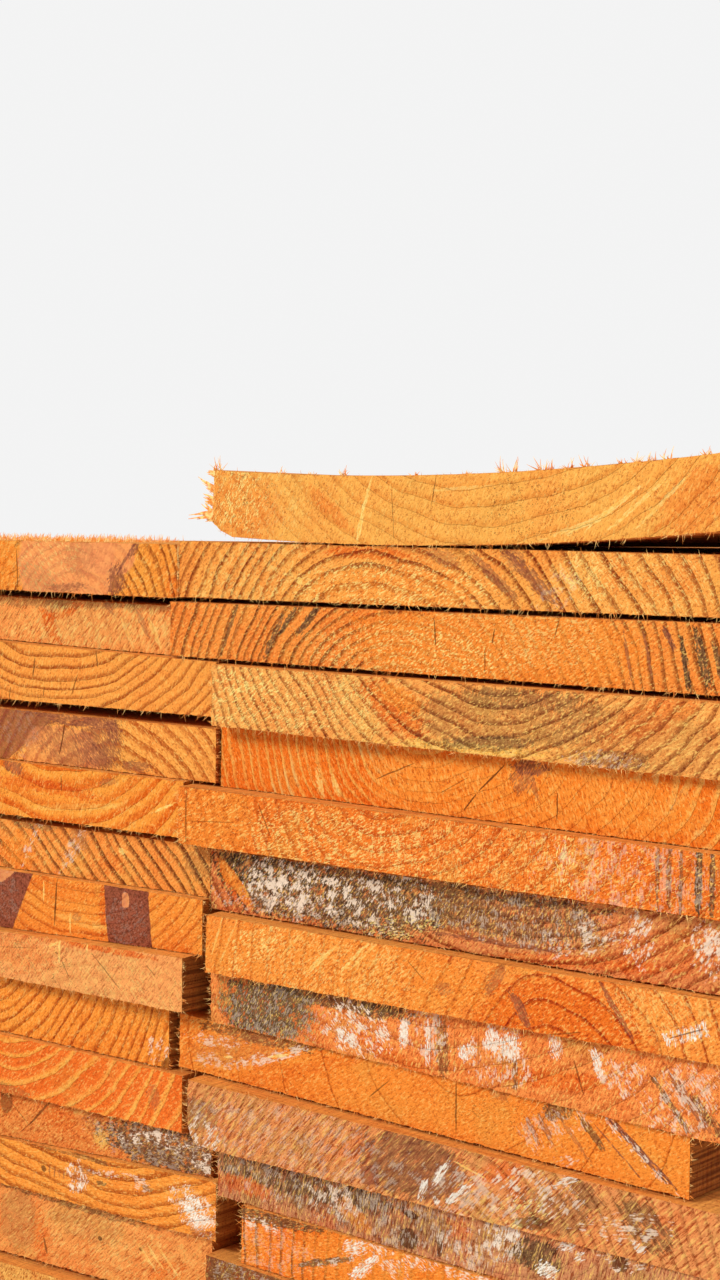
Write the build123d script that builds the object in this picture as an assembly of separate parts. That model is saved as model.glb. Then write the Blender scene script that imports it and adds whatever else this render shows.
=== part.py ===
from build123d import *
from dataclasses import dataclass
import math
import os

# A stack of rough-sawn boards, two columns wide, with one loose cupped board on top.
# Millimetres. X runs across the boards, +Y along them away from the shown ends, Z up.
# Each board rests on the boards below it: the heights are worked out from the bottom up.

# The stock
BOARD_LENGTH = 2440.0
STOCK_WIDTH = 270.0
STOCK_THICKNESS = 25.0
REST_GAP = 0.2          # air left between a board and what it rests on
SIDE_GAP = 0.6          # least air between the two boards of one layer

# The loose top board, which has cupped upwards at both edges
TOP_WIDTH = 286.0
TOP_THICKNESS = 28.5
TOP_CUP_RADIUS = 1650.0
TOP_LEFT_EDGE = 8.0     # from the joint line
TOP_LOW_LINE = 98.0     # where the cup touches the board below, from the joint line
TOP_PROUD = 2.0
TOP_FAR_TRIM = 14.0
TOP_WANE_RISE = 6.0     # bark edge missing from its lower left corner
TOP_WANE_RUN = 13.0
TOP_WANE_BULGE = 2.0    # how far the middle of that rounded corner stays from the underside

# The worn lower corner of one board of the right column
ROUNDED_LAYER = 10
ROUNDED_RADIUS = 9.0


@dataclass
class Board:
    """One board: sizes in its section, how it curves, and where its two ends stand."""

    joint: float            # its edge beside the other column, from the joint line
    wider: float            # how much wider than the stock it was sawn
    inner_thicker: float    # how much thicker than the stock it is at the joint edge
    outer_thicker: float    # the same at the outer edge
    lift: float = 0.0       # how far its ends curve up from its middle
    proud: float = 0.0      # how far the shown end stands out, at the joint edge
    skew: float = 0.0       # how much less it stands out at the outer edge
    trim: float = 0.0       # how much shorter than the stock length it was cut
    side: int = 1           # 1 in the right column, -1 in the left one
    low_inner: float = 0.0  # height of its underside at the joint edge, mid-length
    low_outer: float = 0.0

    def __post_init__(self):
        self.width = STOCK_WIDTH + self.wider
        self.inner = STOCK_THICKNESS + self.inner_thicker
        self.outer = STOCK_THICKNESS + self.outer_thicker

    def outer_x(self):
        return self.joint + self.side * self.width

    def left(self):
        return min(self.joint, self.outer_x())

    def right(self):
        return max(self.joint, self.outer_x())

    def across(self, x):
        """How far x lies from the joint edge towards the outer one, as a share of the width."""
        return (x - self.joint) * self.side / self.width

    def underside(self, x):
        return self.low_inner + (self.low_outer - self.low_inner) * self.across(x)

    def thickness(self, x):
        return self.inner + (self.outer - self.inner) * self.across(x)

    def top(self, x):
        return self.underside(x) + self.thickness(x)

    def near_end(self, x):
        return -BOARD_LENGTH / 2 - self.proud + self.skew * self.across(x)

    def far_end(self, x):
        return BOARD_LENGTH / 2 - self.proud - self.trim

    def curve(self, y):
        """Lift of the board at the length position y."""
        return self.lift * (2 * y / BOARD_LENGTH) ** 2


# From the top layer down. Thicknesses vary as rough-sawn stock does.
LEFT_COLUMN = [
    Board(joint=-13.2, wider=-14, inner_thicker=-0.6, outer_thicker=-1.6, lift=2.6, proud=1, trim=3),
    Board(joint=-19.6, wider=-12, inner_thicker=-2.4, outer_thicker=-5.6, proud=-6, trim=6),
    Board(joint=10.6, wider=6, inner_thicker=-0.6, outer_thicker=6, lift=3.8, skew=-1, trim=-4),
    Board(joint=7.8, wider=13, inner_thicker=-0.8, outer_thicker=-0.8, proud=-3, skew=-2, trim=5),
    Board(joint=-8.0, wider=-10, inner_thicker=0.6, outer_thicker=2.2, lift=2.8, proud=1, trim=-9),
    Board(joint=3.2, wider=0, inner_thicker=-2.2, outer_thicker=-1, proud=-5, skew=-3, trim=2),
    Board(joint=3.4, wider=11, inner_thicker=0, outer_thicker=7, trim=8),
    Board(joint=-1.0, wider=-6, inner_thicker=-0.2, outer_thicker=-5.4, proud=8, skew=3, trim=-6),
    Board(joint=-18.7, wider=-15, inner_thicker=4.4, outer_thicker=3, lift=0.6, proud=-2, trim=11),
    Board(joint=-7.4, wider=-4, inner_thicker=1.2, outer_thicker=6, lift=0.4, proud=1, trim=1),
    Board(joint=6.2, wider=-2, inner_thicker=-6.6, outer_thicker=0.6, proud=-4, skew=-1, trim=-3),
    Board(joint=12.2, wider=7, inner_thicker=2, outer_thicker=-5.6, lift=1.5, proud=-1, trim=4),
    Board(joint=6.4, wider=-2, inner_thicker=7.6, outer_thicker=11.4, lift=1.4, proud=-5, trim=-5),
    Board(joint=-5.0, wider=-4, inner_thicker=2, outer_thicker=-4.4, proud=2, trim=7),
    Board(joint=2.0, wider=0, inner_thicker=0.6, outer_thicker=-3, proud=-2, trim=0),
]
RIGHT_COLUMN = [
    Board(joint=-12.2, wider=14, inner_thicker=0.2, outer_thicker=-2.2, lift=3.2, proud=1, skew=1, trim=-5),
    Board(joint=-18.6, wider=15, inner_thicker=-0.6, outer_thicker=1.6, lift=1.6, trim=9),
    Board(joint=12.0, wider=-3, inner_thicker=2, outer_thicker=3.6, proud=5, skew=3, trim=2),
    Board(joint=8.6, wider=-7, inner_thicker=2.4, outer_thicker=1, lift=0.6, proud=-5, skew=-2, trim=-7),
    Board(joint=-6.5, wider=13, inner_thicker=0.8, outer_thicker=-1, lift=1.2, proud=6, skew=3, trim=4),
    Board(joint=4.2, wider=-1, inner_thicker=1.6, outer_thicker=2.6, lift=0.5, proud=-4, skew=-2, trim=10),
    Board(joint=9.9, wider=1, inner_thicker=0.8, outer_thicker=-1.2, proud=5, skew=3, trim=-2),
    Board(joint=7.4, wider=-7, inner_thicker=-2, outer_thicker=5, proud=-1, trim=5),
    Board(joint=-14.5, wider=-4, inner_thicker=-0.4, outer_thicker=-1.2, lift=0.8, proud=-4, skew=-1, trim=-8),
    Board(joint=0.4, wider=9, inner_thicker=1.8, outer_thicker=0, proud=6, skew=6, trim=3),
    Board(joint=12.8, wider=-5, inner_thicker=-2, outer_thicker=-1.6, proud=-1, trim=6),
    Board(joint=28.3, wider=-14, inner_thicker=1, outer_thicker=1, lift=0.9, trim=-1),
    Board(joint=9.0, wider=-8, inner_thicker=3.6, outer_thicker=3.4, lift=0.8, proud=2, trim=8),
    Board(joint=-1.4, wider=-2, inner_thicker=2.8, outer_thicker=1.4, proud=-3, trim=-4),
    Board(joint=4.4, wider=2, inner_thicker=0.6, outer_thicker=0.4, proud=2, trim=2),
]


def carried_height(board, lower, x):
    """Lowest height for the middle of board's underside at x that clears the lower board."""
    ends = [(board.near_end(x), lower.near_end(x)), (board.far_end(x), lower.far_end(x))]
    overlap = [min(abs(a), abs(b)) for a, b in ends]
    rise = max(lower.curve(y) - board.curve(y) for y in overlap)
    return lower.top(x) + max(0.0, rise) + REST_GAP


def rest(board, below):
    """Lay a board on the boards below it, on the two points that carry its middle."""
    seats = []
    for lower in below:
        start = max(board.left(), lower.left())
        end = min(board.right(), lower.right())
        if end > start:
            seats += [(x, carried_height(board, lower, x)) for x in (start, end)]
    middle = (board.left() + board.right()) / 2
    left_seats = [seat for seat in seats if seat[0] <= middle]
    right_seats = [seat for seat in seats if seat[0] > middle]
    # of all the lines through one seat on each side, the board lies on the highest at its middle
    best = None
    for xa, za in left_seats:
        for xb, zb in right_seats:
            slope = (zb - za) / (xb - xa)
            height = za + slope * (middle - xa)
            if best is None or height > best[0]:
                best = (height, slope)
    height, slope = best
    board.low_inner = height + slope * (board.joint - middle)
    board.low_outer = height + slope * (board.outer_x() - middle)


def stack_layers():
    """Set every board's height, from the bottom layer up. Returns the layers, bottom first."""
    for board in LEFT_COLUMN:
        board.side = -1
    layers = list(zip(LEFT_COLUMN, RIGHT_COLUMN))[::-1]
    for left, right in layers:
        # the boards of one layer never run into each other
        left.joint = min(left.joint, right.joint - SIDE_GAP)
    for below, layer in zip(layers, layers[1:]):
        for board in layer:
            rest(board, below)
    return layers


def side_profile(board, x):
    """Closed outline of a board's side at x, curved along its length."""
    y0, y1 = board.near_end(x), board.far_end(x)
    # the middle control point that makes each edge the parabola of Board.curve
    pull = board.lift * (2 / BOARD_LENGTH) ** 2 * y0 * y1

    def long_edge(z):
        points = [(x, y0, z + board.curve(y0)), (x, (y0 + y1) / 2, z + pull), (x, y1, z + board.curve(y1))]
        return Edge.make_bezier(*points)

    under = long_edge(board.underside(x))
    over = long_edge(board.top(x))
    near = Edge.make_line(under @ 0, over @ 0)
    far = Edge.make_line(under @ 1, over @ 1)
    return Wire([under, far, over, near])


def sawn_end(board, stock):
    """Trim the shown end of a straight board to its own, slightly unsquare, saw cut."""
    x0, x1 = board.left(), board.right()
    corner = Vector(x0, board.near_end(x0), 0)
    along = Vector(x1, board.near_end(x1), 0) - corner
    cut = Plane(origin=corner, x_dir=along, z_dir=Vector(0, 0, 1).cross(along))
    return split(stock, bisect_by=cut, keep=Keep.TOP)


def straight_board(board):
    """A board that lies straight: its section drawn out along Y and sawn at the shown end."""
    start = min(board.near_end(board.left()), board.near_end(board.right()))
    corners = [
        (board.left(), start, board.underside(board.left())),
        (board.right(), start, board.underside(board.right())),
        (board.right(), start, board.top(board.right())),
        (board.left(), start, board.top(board.left())),
    ]
    section = make_face(Polyline(*corners, close=True))
    stock = extrude(section, amount=board.far_end(0) - start, dir=(0, 1, 0))
    return sawn_end(board, stock) if board.skew else stock


def curved_board(board):
    """A board whose ends curve up: ruled between the outlines of its two sides."""
    sides = [side_profile(board, x) for x in (board.left(), board.right())]
    return Solid.make_loft(sides, ruled=True)


def worn_corner(board, solid):
    """Round the lower edge on the left of a straight board."""
    def place(edge):
        return edge.center().X + edge.center().Z
    edge = min(solid.edges().filter_by(Axis.Y), key=place)
    return fillet(edge, ROUNDED_RADIUS)


def top_board(seat):
    """The loose board: a band between two arcs that touches the board below along one line."""
    inner_radius = TOP_CUP_RADIUS - TOP_THICKNESS
    start_angle = (TOP_LEFT_EDGE - TOP_LOW_LINE) / TOP_CUP_RADIUS
    end_angle = start_angle + TOP_WIDTH / TOP_CUP_RADIUS
    near = -BOARD_LENGTH / 2 - TOP_PROUD
    slope = math.atan2(seat.top(seat.right()) - seat.top(seat.left()), seat.right() - seat.left())
    touch = carried_height(Board(TOP_LEFT_EDGE, 0, 0, 0, proud=TOP_PROUD), seat, TOP_LOW_LINE)
    centre_x = TOP_LOW_LINE - TOP_CUP_RADIUS * math.sin(slope)
    centre_z = touch + TOP_CUP_RADIUS * math.cos(slope)

    def on_arc(angle, radius):
        turn = angle + slope
        return Vector(centre_x + radius * math.sin(turn), near, centre_z - radius * math.cos(turn))

    middle = (start_angle + end_angle) / 2
    wane_angle = start_angle + TOP_WANE_RUN / TOP_CUP_RADIUS
    wane_end = on_arc(start_angle, TOP_CUP_RADIUS - TOP_WANE_RISE)
    wane_middle = on_arc((start_angle + wane_angle) / 2, TOP_CUP_RADIUS - TOP_WANE_BULGE)
    under = ThreePointArc(on_arc(wane_angle, TOP_CUP_RADIUS), on_arc(middle, TOP_CUP_RADIUS),
                          on_arc(end_angle, TOP_CUP_RADIUS))
    right_edge = Line(under @ 1, on_arc(end_angle, inner_radius))
    over = ThreePointArc(right_edge @ 1, on_arc(middle, inner_radius), on_arc(start_angle, inner_radius))
    left_edge = Line(over @ 1, wane_end)
    wane = ThreePointArc(wane_end, wane_middle, under @ 0)
    section = make_face(Curve() + [under, right_edge, over, left_edge, wane])
    return extrude(section, amount=BOARD_LENGTH - TOP_FAR_TRIM, dir=(0, 1, 0))


def board_solid(board, worn=False):
    solid = curved_board(board) if board.lift else straight_board(board)
    return worn_corner(board, solid) if worn else solid


def build():
    """All the boards by name, with the origin under the middle of the stack."""
    layers = stack_layers()
    solids = {}
    for number, layer in enumerate(reversed(layers), start=1):
        for side_name, board in zip(("left", "right"), layer):
            worn = side_name == "right" and number == ROUNDED_LAYER
            solids[f"{side_name}_board_{number:02d}"] = board_solid(board, worn)
    solids["top_board"] = top_board(RIGHT_COLUMN[0])

    boxes = [solid.bounding_box() for solid in solids.values()]
    middle_x = (min(box.min.X for box in boxes) + max(box.max.X for box in boxes)) / 2
    middle_y = (min(box.min.Y for box in boxes) + max(box.max.Y for box in boxes)) / 2
    shift = Location((-middle_x, -middle_y, 0))
    print(f"joint line at x = {-middle_x:.3f}, end plane at y = {-middle_y - BOARD_LENGTH / 2:.3f}")
    return {name: shift * solid for name, solid in solids.items()}


os.makedirs("parts", exist_ok=True)
for name, solid in build().items():
    export_step(solid, f"parts/{name}.step")
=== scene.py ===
import logging
import math
from collections.abc import Callable
from dataclasses import dataclass, field
from enum import Enum

import bmesh
import bpy
from mathutils import Matrix, Vector


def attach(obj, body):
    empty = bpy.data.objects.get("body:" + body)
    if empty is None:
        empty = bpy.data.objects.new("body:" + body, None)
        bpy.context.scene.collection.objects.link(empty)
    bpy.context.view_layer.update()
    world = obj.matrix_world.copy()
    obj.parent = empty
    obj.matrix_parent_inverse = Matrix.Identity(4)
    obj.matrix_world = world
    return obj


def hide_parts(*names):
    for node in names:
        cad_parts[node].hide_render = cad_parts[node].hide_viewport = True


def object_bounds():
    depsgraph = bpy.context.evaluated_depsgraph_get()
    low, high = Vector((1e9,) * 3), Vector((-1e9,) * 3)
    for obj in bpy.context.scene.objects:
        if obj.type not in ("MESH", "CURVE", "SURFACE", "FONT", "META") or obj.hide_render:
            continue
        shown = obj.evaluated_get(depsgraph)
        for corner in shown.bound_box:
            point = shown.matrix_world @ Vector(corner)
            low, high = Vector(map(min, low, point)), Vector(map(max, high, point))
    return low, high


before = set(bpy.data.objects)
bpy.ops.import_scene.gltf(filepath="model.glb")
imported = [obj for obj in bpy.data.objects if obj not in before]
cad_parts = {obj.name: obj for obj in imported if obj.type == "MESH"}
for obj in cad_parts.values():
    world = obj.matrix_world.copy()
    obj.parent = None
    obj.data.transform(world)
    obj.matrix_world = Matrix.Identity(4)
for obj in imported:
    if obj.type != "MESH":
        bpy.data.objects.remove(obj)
CAD_LOW, CAD_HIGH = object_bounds()

LOG = logging.getLogger("lumber")

# Lengths are in metres, except in finishes, where places and sizes on the shown ends are in millimetres,
# x from the line between the two columns and z from the top of the right column.
MM = 0.001
JOINT_X = -8.009
END_Y = -1222.0
COLUMN_TOP_Z = 398.75
ROOT = "root"

Tone = tuple[int, int, int]
Corner = tuple[float, float, float]
Socket = bpy.types.NodeSocket
Sockets = bpy.types.bpy_prop_collection


def linear(tone: Tone) -> tuple[float, float, float, float]:
    """Turn a screen colour into the opaque linear one that Blender's sockets take.

    Args:
        tone: Red, green and blue from 0 to 255.

    Returns:
        The linear colour.
    """
    def channel(value: int) -> float:
        """Turn one channel by the sRGB curve."""
        share = value / 255
        return share / 12.92 if share <= 0.04045 else ((share + 0.055) / 1.055) ** 2.4

    return (channel(tone[0]), channel(tone[1]), channel(tone[2]), 1.0)


class Wiring:
    """Adds nodes to one node tree and joins them up."""

    def __init__(self, tree: bpy.types.NodeTree) -> None:
        """Start with an empty tree."""
        self.tree = tree
        tree.nodes.clear()

    def feed(self, socket: Socket, value: object) -> None:
        """Link a socket to another one, or set it to a plain value.

        Args:
            socket: The input.
            value: An output socket, a number, a vector or a colour.
        """
        if isinstance(value, bpy.types.NodeSocket):
            self.tree.links.new(value, socket)
        else:
            socket.default_value = value

    def add(self, kind: str, settings: dict[str, object] | None = None, **inputs: object) -> bpy.types.Node:
        """Add a node.

        Args:
            kind: The node's type name.
            settings: Its properties by name.
            **inputs: Its inputs, with an underscore for each space in a name.

        Returns:
            The new node.
        """
        node = self.tree.nodes.new(kind)
        for key, value in (settings or {}).items():
            setattr(node, key, value)
        for key, value in inputs.items():
            self.feed(node.inputs[key.replace("_", " ")], value)
        return node

    def math(self, operation: str, *values: object) -> Socket:
        """Work out one number from others.

        Args:
            operation: The Math node's operation.
            *values: Its inputs in order.

        Returns:
            The result.
        """
        node = self.tree.nodes.new("ShaderNodeMath")
        node.operation = operation
        for socket, value in zip(node.inputs, values):
            self.feed(socket, value)
        return node.outputs[0]

    def times(self, first: object, second: object) -> Socket:
        """Multiply two numbers."""
        return self.math("MULTIPLY", first, second)

    def plus(self, first: object, second: object) -> Socket:
        """Add two numbers."""
        return self.math("ADD", first, second)

    def minus(self, first: object, second: object) -> Socket:
        """Take the second number from the first."""
        return self.math("SUBTRACT", first, second)

    def over(self, first: object, second: object) -> Socket:
        """Divide the first number by the second."""
        return self.math("DIVIDE", first, second)

    def vector(self, operation: str, *values: object) -> Socket:
        """Work out a vector, or the number that a length or a dot product gives.

        Args:
            operation: The Vector Math node's operation.
            *values: Its inputs in order; a number goes to the Scale input.

        Returns:
            The result.
        """
        node = self.tree.nodes.new("ShaderNodeVectorMath")
        node.operation = operation
        for place, value in enumerate(values):
            scale = operation == "SCALE" and place == 1
            self.feed(node.inputs["Scale"] if scale else node.inputs[place], value)
        return node.outputs[1] if operation in ("LENGTH", "DOT_PRODUCT", "DISTANCE") else node.outputs[0]

    def split(self, vector: Socket) -> tuple[Socket, Socket, Socket]:
        """Give the three parts of a vector."""
        node = self.add("ShaderNodeSeparateXYZ", Vector=vector)
        return tuple(node.outputs)

    def join(self, x: object, y: object, z: object) -> Socket:
        """Make a vector from three numbers."""
        return self.add("ShaderNodeCombineXYZ", X=x, Y=y, Z=z).outputs[0]

    def step(self, value: object, low: object, high: object) -> Socket:
        """Rise smoothly from 0 to 1.

        Args:
            value: What is measured.
            low: Where the result is 0; it may be the larger of the two.
            high: Where the result is 1.

        Returns:
            The share.
        """
        node = self.add("ShaderNodeMapRange", {"interpolation_type": "SMOOTHSTEP"}, Value=value)
        self.feed(node.inputs["From Min"], low)
        self.feed(node.inputs["From Max"], high)
        return node.outputs[0]

    def noise(self, place: object, size: float, detail: float = 2.0, rough: float = 0.5) -> Socket:
        """Even noise from 0 to 1, with lumps of one size and finer layers on them."""
        node = self.add("ShaderNodeTexNoise", Vector=place, Scale=1 / size, Detail=detail, Roughness=rough)
        return node.outputs[0]

    def mix(self, share: object, first: object, second: object, blend: str = "MIX") -> Socket:
        """Mix two colours.

        Args:
            share: How much of the second, from 0 to 1.
            first: The colour below.
            second: The colour on top.
            blend: The blending mode.

        Returns:
            The mixed colour.
        """
        node = self.tree.nodes.new("ShaderNodeMix")
        node.data_type = "RGBA"
        node.blend_type = blend
        sockets = {socket.identifier: socket for socket in node.inputs}
        self.feed(sockets["Factor_Float"], share)
        self.feed(sockets["A_Color"], first)
        self.feed(sockets["B_Color"], second)
        return next(socket for socket in node.outputs if socket.identifier == "Result_Color")

    def group(self, tree: bpy.types.NodeTree, **inputs: object) -> bpy.types.Node:
        """Place a shader group, its inputs with an underscore for each space in a name."""
        return self.add("ShaderNodeGroup", {"node_tree": tree}, **inputs)


class Ports(Enum):
    """The kinds of input and output that the groups use."""

    NUMBER = "NodeSocketFloat"
    COUNT = "NodeSocketInt"
    VECTOR = "NodeSocketVector"
    GEOMETRY = "NodeSocketGeometry"
    OBJECT = "NodeSocketObject"


def numbers(*names: str) -> dict[str, Ports]:
    """Name some number sockets."""
    return dict.fromkeys(names, Ports.NUMBER)


def vectors(*names: str) -> dict[str, Ports]:
    """Name some vector sockets."""
    return dict.fromkeys(names, Ports.VECTOR)


def new_group(kind: str, name: str, inputs: dict[str, Ports],
              outputs: dict[str, Ports]) -> tuple[Wiring, Sockets, Sockets]:
    """Make an empty node group with its sockets.

    Args:
        kind: ShaderNodeTree or GeometryNodeTree.
        name: The group's name.
        inputs: Its inputs by name.
        outputs: Its outputs by name.

    Returns:
        The group's wiring, the sockets that bring its inputs in and those that take its outputs out.
    """
    tree = bpy.data.node_groups.new(name, kind)
    for side, ports in (("INPUT", inputs), ("OUTPUT", outputs)):
        for label, port in ports.items():
            tree.interface.new_socket(name=label, in_out=side, socket_type=port.value)
    wiring = Wiring(tree)
    given = tree.nodes.new("NodeGroupInput").outputs
    out = tree.nodes.new("NodeGroupOutput").inputs
    return wiring, given, out


# Finishes

class MarkKind(Enum):
    """What a mark on the end of a board is."""

    KNOT = "knot"
    SALMON = "salmon"
    HEART = "heart"
    PLAIN = "plain"
    STAIN = "stain"
    PALE = "pale"
    STRAW = "straw"
    GLEAM = "gleam"
    MOULD = "mould"
    BLOOM = "bloom"
    PAINT = "paint"
    CRACK = "crack"
    RESIN = "resin"
    CHIP = "chip"
    SPECKS = "specks"


class Cover(Enum):
    """How a mark covers the wood under it."""

    EVEN = "even"
    SPECKLED = "speckled"
    STREAKED = "streaked"


class Layer(Enum):
    """Where a mark lies: under the rings, over them, or over the torn surface too."""

    UNDER = "under"
    OVER = "over"
    TOP = "top"


@dataclass(frozen=True)
class MarkLook:
    """The finish of one kind of mark: its two tones, how it covers the wood and how its edge runs.

    The fill is how solid its middle is: 1 covers it, and about 0.4 leaves flecks. The clumps are the share
    of coarse lumps in the texture that eats it away, and the rest of it is streaks or specks.
    """

    tone: Tone
    second: Tone
    cover: Cover
    layer: Layer = Layer.UNDER
    softness: float = 0.9
    squareness: float = 2.0
    strength: float = 0.85
    ragged: float = 5.0
    breakup: float = 3.0
    fill: float = 1.0
    grain: float = 0.7
    clumps: float = 0.28


MARK_LOOKS = {
    MarkKind.KNOT: MarkLook((96, 36, 24), (158, 82, 58), Cover.SPECKLED, Layer.TOP, softness=0.1,
                            squareness=12.0, strength=0.95, ragged=1.6, breakup=0.3),
    MarkKind.SALMON: MarkLook((236, 138, 82), (252, 164, 96), Cover.STREAKED, Layer.TOP, softness=0.3,
                              squareness=3.0, ragged=4.0, breakup=1.0, grain=1.6),
    MarkKind.HEART: MarkLook((230, 88, 8), (240, 112, 22), Cover.STREAKED, softness=1.0, strength=0.8,
                             ragged=8.0, breakup=2.6, grain=1.4),
    MarkKind.PLAIN: MarkLook((250, 136, 40), (252, 150, 54), Cover.EVEN, Layer.OVER, softness=0.8,
                             squareness=2.4, strength=0.9, ragged=6.0, breakup=1.6),
    MarkKind.STAIN: MarkLook((122, 62, 44), (182, 108, 68), Cover.STREAKED, Layer.TOP, strength=0.8,
                             breakup=3.4, fill=0.8),
    MarkKind.PALE: MarkLook((255, 184, 76), (255, 208, 112), Cover.STREAKED, ragged=2.0),
    MarkKind.STRAW: MarkLook((255, 226, 132), (255, 200, 88), Cover.STREAKED, Layer.TOP, softness=1.1,
                             ragged=4.0, breakup=5.5, fill=0.24),
    MarkKind.GLEAM: MarkLook((255, 222, 132), (255, 196, 90), Cover.STREAKED, Layer.TOP, softness=0.8,
                             ragged=1.5, breakup=2.6, fill=0.75),
    MarkKind.MOULD: MarkLook((54, 40, 28), (124, 94, 62), Cover.STREAKED, Layer.OVER, softness=0.7,
                             squareness=2.6, strength=0.9, ragged=7.0, breakup=3.6, fill=0.8, grain=0.8,
                             clumps=0.4),
    MarkKind.BLOOM: MarkLook((252, 228, 200), (198, 152, 114), Cover.STREAKED, Layer.TOP, softness=1.0,
                             strength=0.9, ragged=7.0, breakup=6.0, fill=0.36, grain=0.75, clumps=0.5),
    MarkKind.PAINT: MarkLook((255, 248, 230), (222, 190, 156), Cover.STREAKED, Layer.TOP, softness=0.9,
                             squareness=3.0, strength=0.95, ragged=4.0, breakup=4.6, fill=0.68, grain=0.6),
    MarkKind.CRACK: MarkLook((66, 24, 4), (92, 40, 10), Cover.EVEN, Layer.TOP, softness=0.6, ragged=1.4,
                             breakup=1.2),
    MarkKind.RESIN: MarkLook((104, 48, 36), (156, 88, 66), Cover.STREAKED, Layer.TOP, softness=0.5,
                             squareness=2.4, strength=0.9, ragged=4.0, breakup=3.2, fill=0.8),
    MarkKind.CHIP: MarkLook((52, 20, 6), (90, 46, 20), Cover.SPECKLED, Layer.TOP, softness=0.4, strength=0.9,
                            ragged=4.0, breakup=2.4),
    MarkKind.SPECKS: MarkLook((110, 46, 10), (150, 78, 30), Cover.SPECKLED, Layer.TOP, softness=0.8,
                              strength=0.7, ragged=4.0, breakup=5.0, fill=0.1),
}


@dataclass(frozen=True)
class Mark:
    """One mark: its middle, its half sizes and how far it is turned, on the end of a board.

    The grain is the direction of its streaks, in degrees from level; without one they follow the saw marks.
    """

    kind: MarkKind
    x: float
    z: float
    half_x: float
    half_z: float
    turn: float = 0.0
    strength: float = 1.0
    grain: float | None = None


@dataclass(frozen=True)
class EndFinish:
    """How the wood of one board looks.

    The rings run round the pith, and on either side of it they may be wider than circles.
    """

    early: Tone = (253, 146, 52)
    late: Tone = (150, 58, 6)
    pith_x: float = 0.0
    pith_z: float = 0.0
    left_wide: float = 1.0
    right_wide: float = 1.0
    spacing: float = 6.0
    rings: float = 0.85
    uneven: float = 0.5
    band: float = 0.26
    scratch_turn: float = 60.0
    scratch_thin: float = 0.34
    scratches: float = 0.3
    sparkle: float = 0.3
    mottle: float = 0.35
    dirt: float = 0.1
    marks: tuple[Mark, ...] = ()


KNOT, SALMON, HEART, PLAIN, STAIN, PALE, STRAW, GLEAM = list(MarkKind)[:8]
MOULD, BLOOM, PAINT, CRACK, RESIN, CHIP, SPECKS = list(MarkKind)[8:]


def marks(*rows: tuple[object, ...]) -> tuple[Mark, ...]:
    """Make marks of rows that give each one's kind, place, half sizes, turn, strength and grain."""
    return tuple(Mark(*row) for row in rows)


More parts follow.
